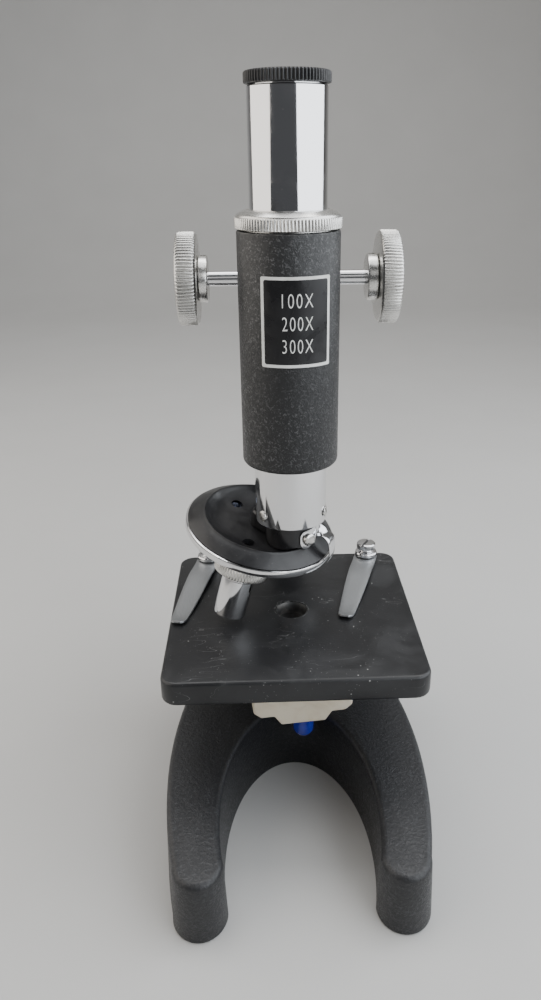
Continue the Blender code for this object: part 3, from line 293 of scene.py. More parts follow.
class Look:
    """A material on the Principled shader, with short ways to add procedural detail."""

    def __init__(self, name, colour, roughness, metallic=0.0, **more):
        self.material = bpy.data.materials.new(name)
        self.material.use_nodes = True
        self.tree = self.material.node_tree
        self.shader = self.tree.nodes["Principled BSDF"]
        self.shader.inputs["Base Color"].default_value = (*colour, 1.0)
        self.shader.inputs["Roughness"].default_value = roughness
        self.shader.inputs["Metallic"].default_value = metallic
        for socket, value in more.items():
            self.shader.inputs[socket.replace("_", " ")].default_value = value
        self.points = self.node("TexCoord").outputs["Object"]
        self.normal = None

    def node(self, kind):
        return self.tree.nodes.new("ShaderNode" + kind)

    def put(self, value, socket):
        if isinstance(value, bpy.types.NodeSocket):
            self.tree.links.new(value, socket)
        else:
            socket.default_value = value

    def stretched(self, scale, turn=0.0):
        node = self.node("Mapping")
        node.inputs["Scale"].default_value = scale
        node.inputs["Rotation"].default_value = (0.0, 0.0, math.radians(turn))
        self.put(self.points, node.inputs["Vector"])
        return node.outputs["Vector"]

    def noise(self, size, detail=2.0, distortion=0.0, points=None):
        node = self.node("TexNoise")
        node.inputs["Scale"].default_value = 1.0 / (size * MM)
        node.inputs["Detail"].default_value = detail
        node.inputs["Distortion"].default_value = distortion
        self.put(points or self.points, node.inputs["Vector"])
        return node.outputs["Fac"]

    def cells(self, size, output="Distance", randomness=1.0, points=None):
        node = self.node("TexVoronoi")
        node.inputs["Scale"].default_value = 1.0 / (size * MM)
        node.inputs["Randomness"].default_value = randomness
        self.put(points or self.points, node.inputs["Vector"])
        return node.outputs[output]

    def spread(self, value, low, high, to_low=0.0, to_high=1.0):
        node = self.node("MapRange")
        node.interpolation_type = "SMOOTHSTEP"
        for socket, number in zip(("From Min", "From Max", "To Min", "To Max"),
                                  (low, high, to_low, to_high)):
            node.inputs[socket].default_value = number
        self.put(value, node.inputs["Value"])
        return node.outputs["Result"]

    def sum(self, operation, first, second):
        node = self.node("Math")
        node.operation = operation
        self.put(first, node.inputs[0])
        self.put(second, node.inputs[1])
        return node.outputs["Value"]

    def mixed(self, amount, first, second):
        node = self.node("Mix")
        node.data_type = "RGBA"
        for socket, value in zip((node.inputs["Factor"], node.inputs[6], node.inputs[7]),
                                 (amount, first, second)):
            self.put((*value, 1.0) if isinstance(value, tuple) else value, socket)
        return node.outputs[2]

    def bump(self, height, depth, strength=1.0):
        node = self.node("Bump")
        node.inputs["Distance"].default_value = depth * MM
        node.inputs["Strength"].default_value = strength
        self.put(height, node.inputs["Height"])
        if self.normal:
            self.put(self.normal, node.inputs["Normal"])
        self.normal = node.outputs["Normal"]
        self.put(self.normal, self.shader.inputs["Normal"])

    def edges(self, radius, low=0.01, high=0.12):
        """A mask of the sharp edges, from how far a rounded normal leans from the real one."""
        bevel = self.node("Bevel")
        bevel.samples = 4
        bevel.inputs["Radius"].default_value = radius * MM
        facing = self.node("VectorMath")
        facing.operation = "DOT_PRODUCT"
        geometry = self.node("NewGeometry")
        self.put(bevel.outputs["Normal"], facing.inputs[0])
        self.put(geometry.outputs["Normal"], facing.inputs[1])
        return self.spread(self.sum("SUBTRACT", 1.0, facing.outputs["Value"]), low, high)

    def colour(self, value):
        self.put(value, self.shader.inputs["Base Color"])

    def roughness(self, value):
        self.put(value, self.shader.inputs["Roughness"])


def crinkle_paint(name, dark, ridge_highlight, size, depth, worn):
    """Wrinkled black enamel: close ridges, ridge tops painted paler as a painted highlight, and
    rubbed edges.
    """
    look = Look(name, dark, 0.5, Coat_Weight=0.15, Coat_Roughness=0.3)
    ridges = look.noise(size, 3.0, 1.6)
    grains = look.cells(size * 1.3)
    height = look.sum("ADD", ridges, look.sum("MULTIPLY", grains, 0.5))
    look.bump(height, depth)
    patches = look.noise(22.0, 2.0)
    # Paler ridge tops, in random patches: a painted highlight on the crinkle.
    highlit_tops = look.sum("MULTIPLY", look.spread(ridges, 0.54, 0.68),
                    look.spread(patches, 0.35, 0.7, 0.35, 1.0))
    rubbed = look.sum("MULTIPLY", look.edges(0.9), look.spread(look.noise(2.2, 3.0), 0.35, 0.62))
    colour = look.mixed(highlit_tops, dark, ridge_highlight)
    look.colour(look.mixed(rubbed, colour, worn))
    look.roughness(look.spread(ridges, 0.35, 0.7, 0.58, 0.36))
    return look.material


def satin_black():
    """The stage's thin satin paint, with dust, fine scratches and bright rubbed edges."""
    dark = (0.0075, 0.0078, 0.009)
    look = Look("stage_satin_black", dark, 0.42)
    grain = look.noise(0.7, 3.0)
    look.bump(grain, 0.02)
    cloud = look.spread(look.noise(14.0, 3.0, 0.6), 0.35, 0.75)
    colour = look.mixed(cloud, dark, (0.019, 0.0195, 0.021))
    dust = look.spread(look.cells(3.4), 0.045, 0.085, 1.0, 0.0)
    kept = look.spread(look.noise(9.0, 2.0), 0.42, 0.58)
    fine = look.spread(look.cells(1.1), 0.06, 0.12, 0.55, 0.0)
    specks = look.sum("MAXIMUM", look.sum("MULTIPLY", dust, kept), look.sum("MULTIPLY", fine, kept))
    colour = look.mixed(specks, colour, (0.3, 0.3, 0.29))
    lines = look.noise(5.0, 1.0, 0.4, look.stretched((0.35, 1.6, 1.0), 24.0))
    thin = look.sum("ABSOLUTE", look.sum("SUBTRACT", lines, 0.5), 0.0)
    scratch = look.sum("MULTIPLY", look.spread(thin, 0.0, 0.0045, 1.0, 0.0),
                       look.spread(look.noise(17.0, 1.0), 0.55, 0.66))
    colour = look.mixed(scratch, colour, (0.17, 0.17, 0.17))
    rubbed = look.sum("MULTIPLY", look.edges(0.7), look.spread(look.noise(1.6, 4.0), 0.44, 0.62))
    look.colour(look.mixed(rubbed, colour, (0.22, 0.22, 0.21)))
    look.roughness(look.spread(cloud, 0.0, 1.0, 0.36, 0.52))
    return look.material


def gloss_black(name, roughness, dust_amount, coat):
    dark = (0.006, 0.006, 0.0075)
    look = Look(name, dark, roughness, Coat_Weight=coat, Coat_Roughness=0.12)
    haze = look.spread(look.noise(8.0, 4.0, 0.8), 0.38, 0.78, 0.0, dust_amount)
    specks = look.spread(look.cells(1.3), 0.05, 0.11, dust_amount * 2.0, 0.0)
    colour = look.mixed(haze, dark, (0.09, 0.09, 0.092))
    look.colour(look.mixed(specks, colour, (0.35, 0.35, 0.34)))
    look.roughness(look.spread(look.noise(8.0, 4.0, 0.8), 0.3, 0.8, roughness, roughness + 0.3))
    look.bump(look.noise(3.0, 2.0), 0.01)
    return look.material


def chrome(name="polished_chrome", tint=(0.80, 0.80, 0.81), roughness=0.05):
    """Chrome plate with faint smears, hairlines and tiny pits."""
    look = Look(name, tint, roughness, 1.0)
    smear = look.noise(9.0, 3.0, 1.2)
    hair = look.noise(0.5, 2.0, 0.0, look.stretched((1.0, 1.0, 0.04)))
    pits = look.spread(look.cells(1.7), 0.035, 0.07, 1.0, 0.0)
    kept = look.spread(look.noise(5.0, 2.0), 0.5, 0.64)
    spots = look.sum("MULTIPLY", pits, kept)
    look.colour(look.mixed(spots, tint, (0.30, 0.28, 0.25)))
    look.roughness(look.sum("ADD", look.spread(smear, 0.4, 0.75, roughness, roughness + 0.10),
                            look.sum("MULTIPLY", spots, 0.35)))
    look.bump(hair, 0.0015)
    return look.material


def satin_metal(name, tint, roughness, lay=(1.0, 1.0, 1.0), grime=(0.30, 0.28, 0.25)):
    """Turned or brushed metal. Its fine lines run where the lay is small."""
    look = Look(name, tint, roughness, 1.0)
    lines = look.noise(0.25, 3.0, 0.0, look.stretched(lay))
    cloud = look.noise(5.0, 4.0, 0.8)
    look.bump(lines, 0.006)
    dirt = look.spread(cloud, 0.55, 0.8, 0.0, 0.45)
    look.colour(look.mixed(dirt, tint, grime))
    look.roughness(look.sum("ADD", look.spread(lines, 0.2, 0.8, roughness - 0.08, roughness + 0.08),
                            look.sum("MULTIPLY", dirt, 0.25)))
    return look.material


def plastic(name, colour, shade, roughness, **more):
    """Moulded plastic with a faint orange peel and a little dirt."""
    look = Look(name, colour, roughness, **more)
    cloud = look.spread(look.noise(7.0, 4.0, 0.7), 0.42, 0.8)
    look.colour(look.mixed(cloud, colour, shade))
    look.roughness(look.spread(look.noise(2.0, 3.0), 0.3, 0.7, roughness - 0.06, roughness + 0.1))
    look.bump(look.noise(0.9, 2.0), 0.012)
    return look.material


def lens_glass():
    look = Look("coated_lens_glass", (0.93, 0.96, 1.0), 0.02, IOR=1.52, Transmission_Weight=1.0,
                Coat_Weight=0.6, Coat_Roughness=0.03, Coat_Tint=(0.75, 0.82, 1.0, 1.0))
    look.roughness(look.spread(look.noise(3.0, 3.0), 0.45, 0.8, 0.015, 0.06))
    look.bump(look.noise(4.0, 1.0), 0.001)
    return look.material


# The second colour of each crinkle paint is its painted highlight on the ridge tops.
BODY_PAINT = crinkle_paint("body_crinkle_enamel", (0.008, 0.0084, 0.0095), (0.10, 0.101, 0.104),
                           0.95, 0.20, (0.13, 0.13, 0.125))
BASE_PAINT = crinkle_paint("base_crinkle_enamel", (0.008, 0.0084, 0.0102), (0.032, 0.034, 0.038),
                           0.9, 0.17, (0.08, 0.08, 0.08))
STAGE_PAINT = satin_black()
CONE_ENAMEL = gloss_black("cone_gloss_enamel", 0.30, 0.12, 0.12)
BOSS_ENAMEL = gloss_black("boss_black_enamel", 0.25, 0.08, 0.2)
LABEL_BLACK = gloss_black("label_gloss_black", 0.2, 0.03, 0.1)
CHROME = chrome()
BARREL_CHROME = chrome("barrel_chrome", (0.77, 0.77, 0.78), 0.11)
KNURLED = satin_metal("knurled_aluminium", (0.72, 0.71, 0.685), 0.30)
TURNED_FACE = satin_metal("turned_aluminium", (0.74, 0.73, 0.705), 0.27, (0.3, 1.0, 1.0))
CLIP_STEEL = satin_metal("clip_dull_steel", (0.36, 0.37, 0.38), 0.46, (1.0, 0.06, 1.0),
                         (0.33, 0.33, 0.33))
SCREW_STEEL = satin_metal("screw_steel", (0.62, 0.61, 0.59), 0.24)
CAP_PLASTIC = plastic("cap_black_plastic", (0.012, 0.0122, 0.0135), (0.03, 0.03, 0.032), 0.34)
CREAM = plastic("lamp_cream_plastic", (0.78, 0.70, 0.56), (0.66, 0.57, 0.43), 0.36,
                Subsurface_Weight=0.12, Subsurface_Radius=(0.002, 0.0015, 0.001))
BLUE = plastic("bulb_blue_glass", (0.012, 0.022, 0.26), (0.02, 0.035, 0.34), 0.12, Coat_Weight=0.7,
               Coat_Roughness=0.04)
PRINT = plastic("label_white_print", (0.80, 0.80, 0.78), (0.66, 0.66, 0.63), 0.42)
RING_METAL = satin_metal("aperture_ring_metal", (0.10, 0.10, 0.10), 0.5)
GLASS = lens_glass()
MIRROR = chrome("silvered_glass", (0.9, 0.91, 0.92), 0.02)

# The stand ----------

BASE_LOW, BASE_HIGH = span("base_casting")
BASE_HALF_WIDTH = BASE_HIGH.x
BASE_WIDEST_Y = -29.0
BASE_BACK_REACH = BASE_HIGH.y - BASE_WIDEST_Y
BASE_BACK_POWER = 1.9
BASE_FRONT_REACH = 86.0
ARCH_HALF_WIDTH = 22.8
ARCH_CENTRE_Y = -50.0
ARCH_REACH = 45.3
TOE_REACH = 8.8
TOE_CENTRE_Y = BASE_LOW.y + TOE_REACH
BASE_TOE_HEIGHT = 20.7
BASE_TOP_SLOPE = 0.06
BASE_DRAFT = 0.7
BASE_EDGE = 1.9
TILT_Y = (PIN.translation.y - AXIS_FOOT.y) / MM
TILT_Z = PIN.translation.z / MM
EAR_RADIUS = 7.5
PIN_HOLE = 2.6
EAR_THICKNESS = 6.0
LIMB_HALF = 7.0
SIDE_GAP = 0.3


def base_half_width(y):
    """Half the base's outer width at a distance from its middle."""
    away = y - BASE_WIDEST_Y
    if away >= 0.0:
        share = 1.0 - (away / BASE_BACK_REACH) ** BASE_BACK_POWER
        return BASE_HALF_WIDTH * max(share, 0.0) ** (1.0 / BASE_BACK_POWER)
    return BASE_HALF_WIDTH * math.sqrt(1.0 - (away / BASE_FRONT_REACH) ** 2)


def base_outline():
    """The horseshoe's right half, from the middle of its back to the top of its arch."""
    points = []
    for i in range(30):
        share = math.cos(math.pi / 2 * i / 30) ** (2.0 / BASE_BACK_POWER)
        y = BASE_WIDEST_Y + BASE_BACK_REACH * share
        points.append((base_half_width(y), y))
    for i in range(21):
        y = BASE_WIDEST_Y + (TOE_CENTRE_Y - BASE_WIDEST_Y) * i / 20
        points.append((base_half_width(y), y))
    outer = base_half_width(TOE_CENTRE_Y)
    start = math.asin((TOE_CENTRE_Y - ARCH_CENTRE_Y) / ARCH_REACH)
    inner = ARCH_HALF_WIDTH * math.cos(start)
    for i in range(1, 24):
        turn = math.pi * i / 24
        points.append(((outer + inner) / 2 + (outer - inner) / 2 * math.cos(turn),
                       TOE_CENTRE_Y - TOE_REACH * math.sin(turn)))
    for i in range(37):
        turn = start + (math.pi / 2 - start) * i / 36
        points.append((ARCH_HALF_WIDTH * math.cos(turn),
                       ARCH_CENTRE_Y + ARCH_REACH * math.sin(turn)))
    return points


def inset(points, distance):
    """Moves each point of a closed outline inwards, square to its neighbours."""
    result = []
    for i, (x, y) in enumerate(points):
        along = (Vector(points[(i + 1) % len(points)]) - Vector(points[i - 1])).normalized()
        result.append((x + along.y * distance, y - along.x * distance))
    return result


def base_top(y):
    return BASE_TOE_HEIGHT + BASE_TOP_SLOPE * (y - TOE_CENTRE_Y + TOE_REACH)


def make_base():
    half = base_outline()
    whole = half + [(-x, y) for x, y in reversed(half[1:-1])]
    # Each level is (share of the height, lift, inset), from the ground to the rounded top edge.
    levels = [(0.0, 0.0, 0.7), (0.0, 0.2, 0.2), (0.0, 0.7, 0.0)]
    for i in range(7):
        turn = math.pi / 2 * i / 6
        levels.append((1.0, BASE_EDGE * (math.sin(turn) - 1.0),
                       BASE_DRAFT + BASE_EDGE * (1.0 - math.cos(turn))))
    points = []
    for share, lift, distance in levels:
        points += [AXIS @ Vector((x * MM, y * MM, (share * base_top(y) + lift) * MM))
                   for x, y in inset(whole, distance)]
    count = len(whole)
    faces = [tuple(range(count)), tuple(reversed(range(len(points) - count, len(points))))]
    for level in range(len(levels) - 1):
        for i in range(count):
            j = (i + 1) % count
            low, high = level * count, (level + 1) * count
            faces.append((low + j, low + i, high + i, high + j))
    base = mesh_object("base_shown", points, faces)
    foot = base_top(TILT_Y) - 3.0
    for side in (-1, 1):
        outline = arc((0.0, TILT_Z), EAR_RADIUS, 0.0, 180.0, 28)
        outline += [(-EAR_RADIUS - 1.5, foot), (EAR_RADIUS - 3.5, foot)]
        middle = side * (LIMB_HALF + SIDE_GAP + EAR_THICKNESS / 2)
        ear = prism("ear", outline, -EAR_THICKNESS / 2, EAR_THICKNESS / 2,
                    AXIS @ moved(middle, TILT_Y, 0.0) @ UPRIGHT_YZ)
        join(base, bevelled(ear, 0.9))
    cut(base, rod("pin_hole", PIN_HOLE, -30.0, 30.0, PIN @ ALONG_X))
    finished(base, BASE_PAINT, "base_casting")


def make_tilt_pin():
    half = LIMB_HALF + SIDE_GAP + EAR_THICKNESS + SIDE_GAP
    pin = turned("inclination_pin_shown", [
        (0.0, half + 5.7), (2.1, half + 5.7), (2.5, half + 5.3), (2.5, -half), (5.0, -half),
        (5.0, -half - 1.7), (4.7, -half - 2.2), (4.2, -half - 2.5), (0.0, -half - 2.5),
    ], PIN @ ALONG_X, PLAIN)
    slotted(pin, 12.0, 1.2, 1.6, PIN @ ALONG_X @ raised(-half - 2.5))
    finished(pin, SCREW_STEEL, "inclination_pin")
    corners = arc((0.0, 0.0), 5.4, 0.0, 300.0, 5)
    nut = prism("inclination_nut_shown", corners, half, half + 4.0, PIN @ ALONG_X)
    trim = rod("trim", 5.35, half - 1.0, half + 4.0, PIN @ ALONG_X, PLAIN, 0.6)
    boolean(nut, "INTERSECT", trim)
    cut(nut, rod("bore", 2.6, 0.0, 30.0, PIN @ ALONG_X))
    finished(nut, SCREW_STEEL, "inclination_nut")


# The limb and what is fixed to it ----------

STAGE_LOW, STAGE_HIGH = span("stage_plate")
STAGE_TOP = STAGE_HIGH.z
STAGE_BOTTOM = STAGE_LOW.z
BODY_RADIUS = span("body_tube")[1].x
BODY_BOTTOM = span("body_tube")[0].z
BODY_TOP = span("body_tube")[1].z
BODY_BORE = 12.6
SHAFT_Z = SHAFT.translation.z / MM
SHAFT_RADIUS = 2.2
RACK_SLOT_WIDTH = 7.6
RACK_SLOT_BOTTOM = 124.5
HOUSING_SIZE = (22.0, 12.0, 30.0)
HOUSING_Y = 18.0
COVER_Y = 25.3
COVER_SCREW_SPREAD = 9.5
BRACKET = (28.0, 30.0, 5.7)
BRACKET_Y = 25.0


def limb_outline():
    """The arm's side view, as (y, z), anticlockwise."""
    points = arc((TILT_Y, TILT_Z), 6.6, -180.0, 0.0, 26)
    points += [(TILT_Y + 7.0, 52.0), (TILT_Y + 8.0, 66.0)]
    points += arc((20.0, 100.0), 34.5, -8.0, 72.0, 30)
    points += [(25.0, 142.0), (24.0, 150.0), (24.0, 181.0), (12.0, 181.0), (12.0, 118.0)]
    points += [(15.0, 116.0), (20.0, 115.0)]
    points += arc((20.0, 100.0), 24.0, 60.0, -10.0, 26)
    points += [(43.0, 66.0), (42.0, STAGE_BOTTOM - SIDE_GAP)]
    points += [(14.0, STAGE_BOTTOM - SIDE_GAP), (14.0, STAGE_BOTTOM - 6.0)]
    points += [(36.0, STAGE_BOTTOM - 7.0)]
    return points


def make_limb():
    limb = prism("limb_shown", limb_outline(), -LIMB_HALF, LIMB_HALF, AXIS @ UPRIGHT_YZ)
    bevelled(limb, 1.8, 4)
    housing = block("housing", HOUSING_SIZE, AXIS @ moved(0.0, HOUSING_Y, SHAFT_Z), 1.8)
    bracket = block("bracket", BRACKET, AXIS @ moved(0.0, BRACKET_Y, STAGE_BOTTOM - 3.15), 1.2)
    join(limb, housing, bracket)
    cut(limb,
        rod("tube_room", BODY_RADIUS + 0.25, 90.0, 230.0, AXIS, FINE),
        block("rack_room", (RACK_SLOT_WIDTH, 9.0, 76.0), AXIS @ moved(0.0, 12.0, 150.0)),
        rod("shaft_hole", SHAFT_RADIUS + 0.1, -30.0, 30.0, SHAFT @ ALONG_X),
        rod("pinion_room", 4.2, -4.4, 4.4, SHAFT @ ALONG_X),
        block("access", (8.8, 12.0, 12.0), AXIS @ moved(0.0, 21.0, SHAFT_Z)),
        rod("pin_hole", PIN_HOLE, -20.0, 20.0, PIN @ ALONG_X))
    finished(limb, BODY_PAINT, "limb_casting")
    cover = block("pinion_cover_shown", (16.0, 2.0, 26.0), AXIS @ moved(0.0, COVER_Y, SHAFT_Z), 0.6)
    finished(cover, BODY_PAINT, "pinion_cover")
    for name, side in (("lower", -1), ("upper", 1)):
        place = AXIS @ moved(0.0, COVER_Y + 1.25, SHAFT_Z + side * COVER_SCREW_SPREAD) @ ALONG_Y
        domed_screw("cover_screw_" + name, place, 2.3, 2.2, 15.0 + 70.0 * side, SCREW_STEEL)


def make_body_tube():
    body = turned("body_tube_shown", [
        (BODY_RADIUS - 0.55, BODY_TOP), (BODY_RADIUS - 0.2, BODY_TOP - 0.12),
        (BODY_RADIUS, BODY_TOP - 0.5), (BODY_RADIUS, BODY_BOTTOM + 1.3),
        (BODY_RADIUS - 0.12, BODY_BOTTOM + 0.75), (BODY_RADIUS - 0.45, BODY_BOTTOM + 0.3),
        (BODY_RADIUS - 1.0, BODY_BOTTOM + 0.04), (BODY_RADIUS - 1.5, BODY_BOTTOM),
        (BODY_BORE, BODY_BOTTOM), (BODY_BORE, BODY_TOP),
    ])
    height = BODY_TOP + 5.0 - RACK_SLOT_BOTTOM
    cut(body,
        block("rack_slot", (RACK_SLOT_WIDTH, 8.0, height),
              AXIS @ moved(0.0, BODY_RADIUS, RACK_SLOT_BOTTOM + height / 2)),
        rod("shaft_way", SHAFT_RADIUS + 0.5, -11.0, 11.0, SHAFT @ ALONG_X))
    finished(body, BODY_PAINT, "body_tube")
    bush_low, bush_high = span("guide_bush")
    turned_piece("guide_bush", TURNED_FACE, [
        (12.4, bush_high.z), (12.5, bush_high.z - 0.1), (12.5, bush_low.z + 0.1),
        (12.4, bush_low.z), (11.25, bush_low.z), (11.15, bush_low.z + 0.2), (11.15, bush_high.z),
    ])


def make_collar():
    """The ring at the top of the body tube: a ribbed band under a plain sloping shoulder."""
    radius = span("top_collar")[1].x
    top = span("top_collar")[1].z
    band_top = BODY_TOP + 3.5
    collar = turned("top_collar_shown", [
        (11.2, top - 0.12), (11.6, top), (12.2, top - 0.1), (12.6, top - 0.4),
        (radius - 0.75, band_top + 0.75), (radius - 0.4, band_top + 0.35),
        (radius - 0.35, band_top + 0.1),
        (radius - 0.12, band_top - 0.1, 0.05), (radius, band_top - 0.35, 0.32),
        (radius, BODY_TOP + 0.85, 0.32), (radius - 0.12, BODY_TOP + 0.6, 0.05),
        (radius - 0.45, BODY_TOP + 0.4), (12.5, BODY_TOP + 0.3), (12.5, BODY_TOP - 3.0),
        (12.2, BODY_TOP - 3.0), (12.2, BODY_TOP + 1.0), (10.8, BODY_TOP + 1.0), (10.8, top - 0.5),
    ], steps=576, flutes=96)
    cut(collar, block("keyway", (RACK_SLOT_WIDTH, 6.4, 20.0), AXIS @ moved(0.0, 10.0, BODY_TOP)))
    finished(collar, KNURLED, "top_collar")


# The label ----------

LABEL_BOTTOM = span("label_plate")[0].z
LABEL_TOP = span("label_plate")[1].z
LABEL_HALF_ANGLE = 39.6
LABEL_MIDDLE = -90.0 + 6.4
LABEL_HALF_WIDTH = math.radians(LABEL_HALF_ANGLE) * BODY_RADIUS
LABEL_BORDER = 0.85
LABEL_ROWS = (("100X", 18.1), ("200X", 12.0), ("300X", 5.9))
FIGURE_HEIGHT = 3.7
FIGURE_WIDTH = 8.5


def wrapped(obj, radius):
    """Bends a flat mesh round the body: its X runs round, its Y up and its Z outwards."""
    mesh = bmesh.new()
    mesh.from_mesh(obj.data)
    reach = max(abs(point.co.x) for point in mesh.verts)
    step = 0.5 * MM
    for i in range(-int(reach / step), int(reach / step) + 1):
        bmesh.ops.bisect_plane(mesh, geom=mesh.verts[:] + mesh.edges[:] + mesh.faces[:],
                               plane_co=(i * step, 0.0, 0.0), plane_no=(1.0, 0.0, 0.0))
    for point in mesh.verts:
        turn = math.radians(LABEL_MIDDLE) + point.co.x / (radius * MM)
        out = radius * MM + point.co.z
        point.co = AXIS @ Vector((out * math.cos(turn), out * math.sin(turn), point.co.y))
    mesh.to_mesh(obj.data)
    mesh.free()
    return obj


def rounded_rectangle(half_width, low, high, corner):
    points = []
    corners = ((half_width - corner, low + corner), (half_width - corner, high - corner),
               (corner - half_width, high - corner), (corner - half_width, low + corner))
    for i, centre in enumerate(corners):
        points += arc(centre, corner, -90.0 + 90.0 * i, 90.0 * i, 6)
    return points


def make_label():
    flat = Matrix.Identity(4)
    half, low, high = LABEL_HALF_WIDTH, LABEL_BOTTOM, LABEL_TOP
    plate = prism("label_plate_shown", rounded_rectangle(half, low, high, 0.5), 0.0, 0.28, flat)
    finished(wrapped(plate, BODY_RADIUS + 0.05), LABEL_BLACK, "label_plate")
    border = prism("label_border", rounded_rectangle(half - 0.02, low + 0.02, high - 0.02, 0.45),
                   0.27, 0.33, flat)
    inner = rounded_rectangle(half - LABEL_BORDER, low + LABEL_BORDER, high - LABEL_BORDER, 0.6)
    cut(border, prism("inside", inner, 0.0, 1.0, flat))
    finished(wrapped(border, BODY_RADIUS + 0.05), PRINT, "label_plate")
    for words, height in LABEL_ROWS:
        curve = bpy.data.curves.new("figures", "FONT")
        curve.body = words
        curve.space_character = 1.22
        curve.extrude = 0.03
        curve.offset = -0.012
        text = bpy.data.objects.new("figures_" + words, curve)
        bpy.context.scene.collection.objects.link(text)
        bpy.context.view_layer.update()
        mesh = bpy.data.meshes.new_from_object(text)
        bpy.data.objects.remove(text)
        figures = bpy.data.objects.new("label_figures_" + words, mesh)
        bpy.context.scene.collection.objects.link(figures)
        spots = [point.co.copy() for point in mesh.vertices]
        least = Vector(min(spot[i] for spot in spots) for i in range(3))
        most = Vector(max(spot[i] for spot in spots) for i in range(3))
        for point, spot in zip(mesh.vertices, spots):
            share = Vector((spot[i] - least[i]) / (most[i] - least[i]) for i in range(3))
            point.co = Vector((FIGURE_WIDTH * (share.x - 0.5) + 0.2,
                               LABEL_BOTTOM + height + FIGURE_HEIGHT * (share.y - 0.5),
                               0.27 + 0.05 * share.z)) * MM
        finished(wrapped(figures, BODY_RADIUS + 0.05), PRINT, "label_plate")


# The stage and its clips ----------

STAGE_HALF = (STAGE_HIGH.x - STAGE_LOW.x) / 2
STAGE_CENTRE_Y = (STAGE_HIGH.y + STAGE_LOW.y) / 2
STAGE_CORNER = 5.0
APERTURE = 5.5
APERTURE_BORE = 4.7
CLIP_POST_TOP = 6.9
CLIP_TURNS = {"left": -10.6, "right": -16.0}
CLIP_STATIONS = (
    (-4.0, 2.2, 0.9), (-2.6, 3.4, 0.9), (0.0, 4.1, 0.9), (6.0, 4.1, 0.9), (14.0, 4.0, 1.5),
    (26.0, 3.6, 0.9), (36.0, 3.0, 0.35), (40.5, 2.7, 0.3), (43.0, 2.3, 0.6), (44.3, 1.3, 1.1),
)


def make_stage():
    low = STAGE_CENTRE_Y - STAGE_HALF
    outline = rounded_rectangle(STAGE_HALF, low, low + 2 * STAGE_HALF, STAGE_CORNER)
    stage = bevelled(prism("stage_plate_shown", outline, STAGE_BOTTOM, STAGE_TOP), 1.1, 4, 60.0)
    cut(stage, rod("hole", APERTURE, STAGE_BOTTOM - 2.0, STAGE_TOP + 2.0, AXIS, FINE))
    finished(stage, STAGE_PAINT, "stage_plate")
    ring_low = span("aperture_ring")[0]
    turned_piece("aperture_ring", RING_METAL, [
        (APERTURE - 0.35, STAGE_TOP - 0.12), (APERTURE - 0.15, STAGE_TOP - 0.15),
        (APERTURE - 0.08, STAGE_TOP - 0.3), (APERTURE - 0.08, ring_low.z),
        (APERTURE_BORE, ring_low.z), (APERTURE_BORE, STAGE_TOP - 1.2),
    ])
    for name in ("left", "right"):
        low, high = span("stage_screw_" + name)
        place = AXIS @ moved((low.x + high.x) / 2, (low.y + high.y) / 2, STAGE_BOTTOM - 6.3)
        domed_screw("stage_screw_" + name, place @ turned_by("X", 180.0), 2.8, 2.1, 30.0,
                    SCREW_STEEL, 1.35)


def thickened(name, rows, thickness, edge):
    """A leaf through rows of points, raised to its thickness on the side its faces look to."""
    across = len(rows[0])
    points = [point for row in rows for point in row]
    faces = [(i * across + k, (i + 1) * across + k, (i + 1) * across + k + 1, i * across + k + 1)
             for i in range(len(rows) - 1) for k in range(across - 1)]
    leaf = mesh_object(name, points, faces)
    solid = leaf.modifiers.new("thickness", "SOLIDIFY")
    solid.thickness = thickness * MM
    solid.offset = 1.0
    bake(leaf)
    return bevelled(leaf, edge, 2, 50.0)


def make_clip(name):
    joint = JOINTS["clip_%s_swing" % name]
    post_place = Matrix.Translation(Vector(joint["pos_m"]))
    post_x = (post_place.translation.x - AXIS_FOOT.x) / MM
    turn = CLIP_TURNS[name]
    place = post_place @ turned_by("Z", turn)
    rows = []
    for reach, half, height in smooth_line([Vector(row) for row in CLIP_STATIONS], 5):
        rows.append([place @ Vector((side * half * MM, -reach * MM, height * MM))
                     for side in (-1.0, -0.5, 0.0, 0.5, 1.0)])
    leaf = thickened("clip_leaf_%s_shown" % name, rows, 0.8, 0.16)
    cut(leaf, rod("eye", 2.0, -3.0, 4.0, place))
    finished(leaf, CLIP_STEEL, "clip_leaf_" + name)
    post = turned("clip_post_%s_shown" % name, [
        (0.0, CLIP_POST_TOP), (2.75, CLIP_POST_TOP), (3.15, 6.8), (3.45, 6.5, 0.0),
        (3.5, 6.25, 0.14),
        (3.5, 5.1, 0.14), (3.35, 4.75, 0.0), (3.0, 4.5), (2.3, 4.3), (2.2, 4.1), (2.3, 3.9),
        (3.3, 3.7), (3.85, 3.5), (4.1, 3.1), (4.1, 2.2), (3.9, 1.95), (1.9, 1.9), (1.9, 0.2),
        (2.4, 0.2), (2.4, 0.0), (1.3, 0.0), (1.3, -6.5), (0.0, -6.5),
    ], post_place, 192, 48)
    slotted(post, 9.0, 0.9, 1.4, post_place @ raised(CLIP_POST_TOP)
            @ turned_by("Z", math.copysign(60.0, post_x)))
    finished(post, BARREL_CHROME, "clip_post_" + name)


# The focus shaft ----------

KNOB_RADIUS = span("knob_wheel_right")[1].z - SHAFT_Z
HUB_RADIUS = span("knob_hub_right")[1].z - SHAFT_Z
KNOB_RIBS = 84


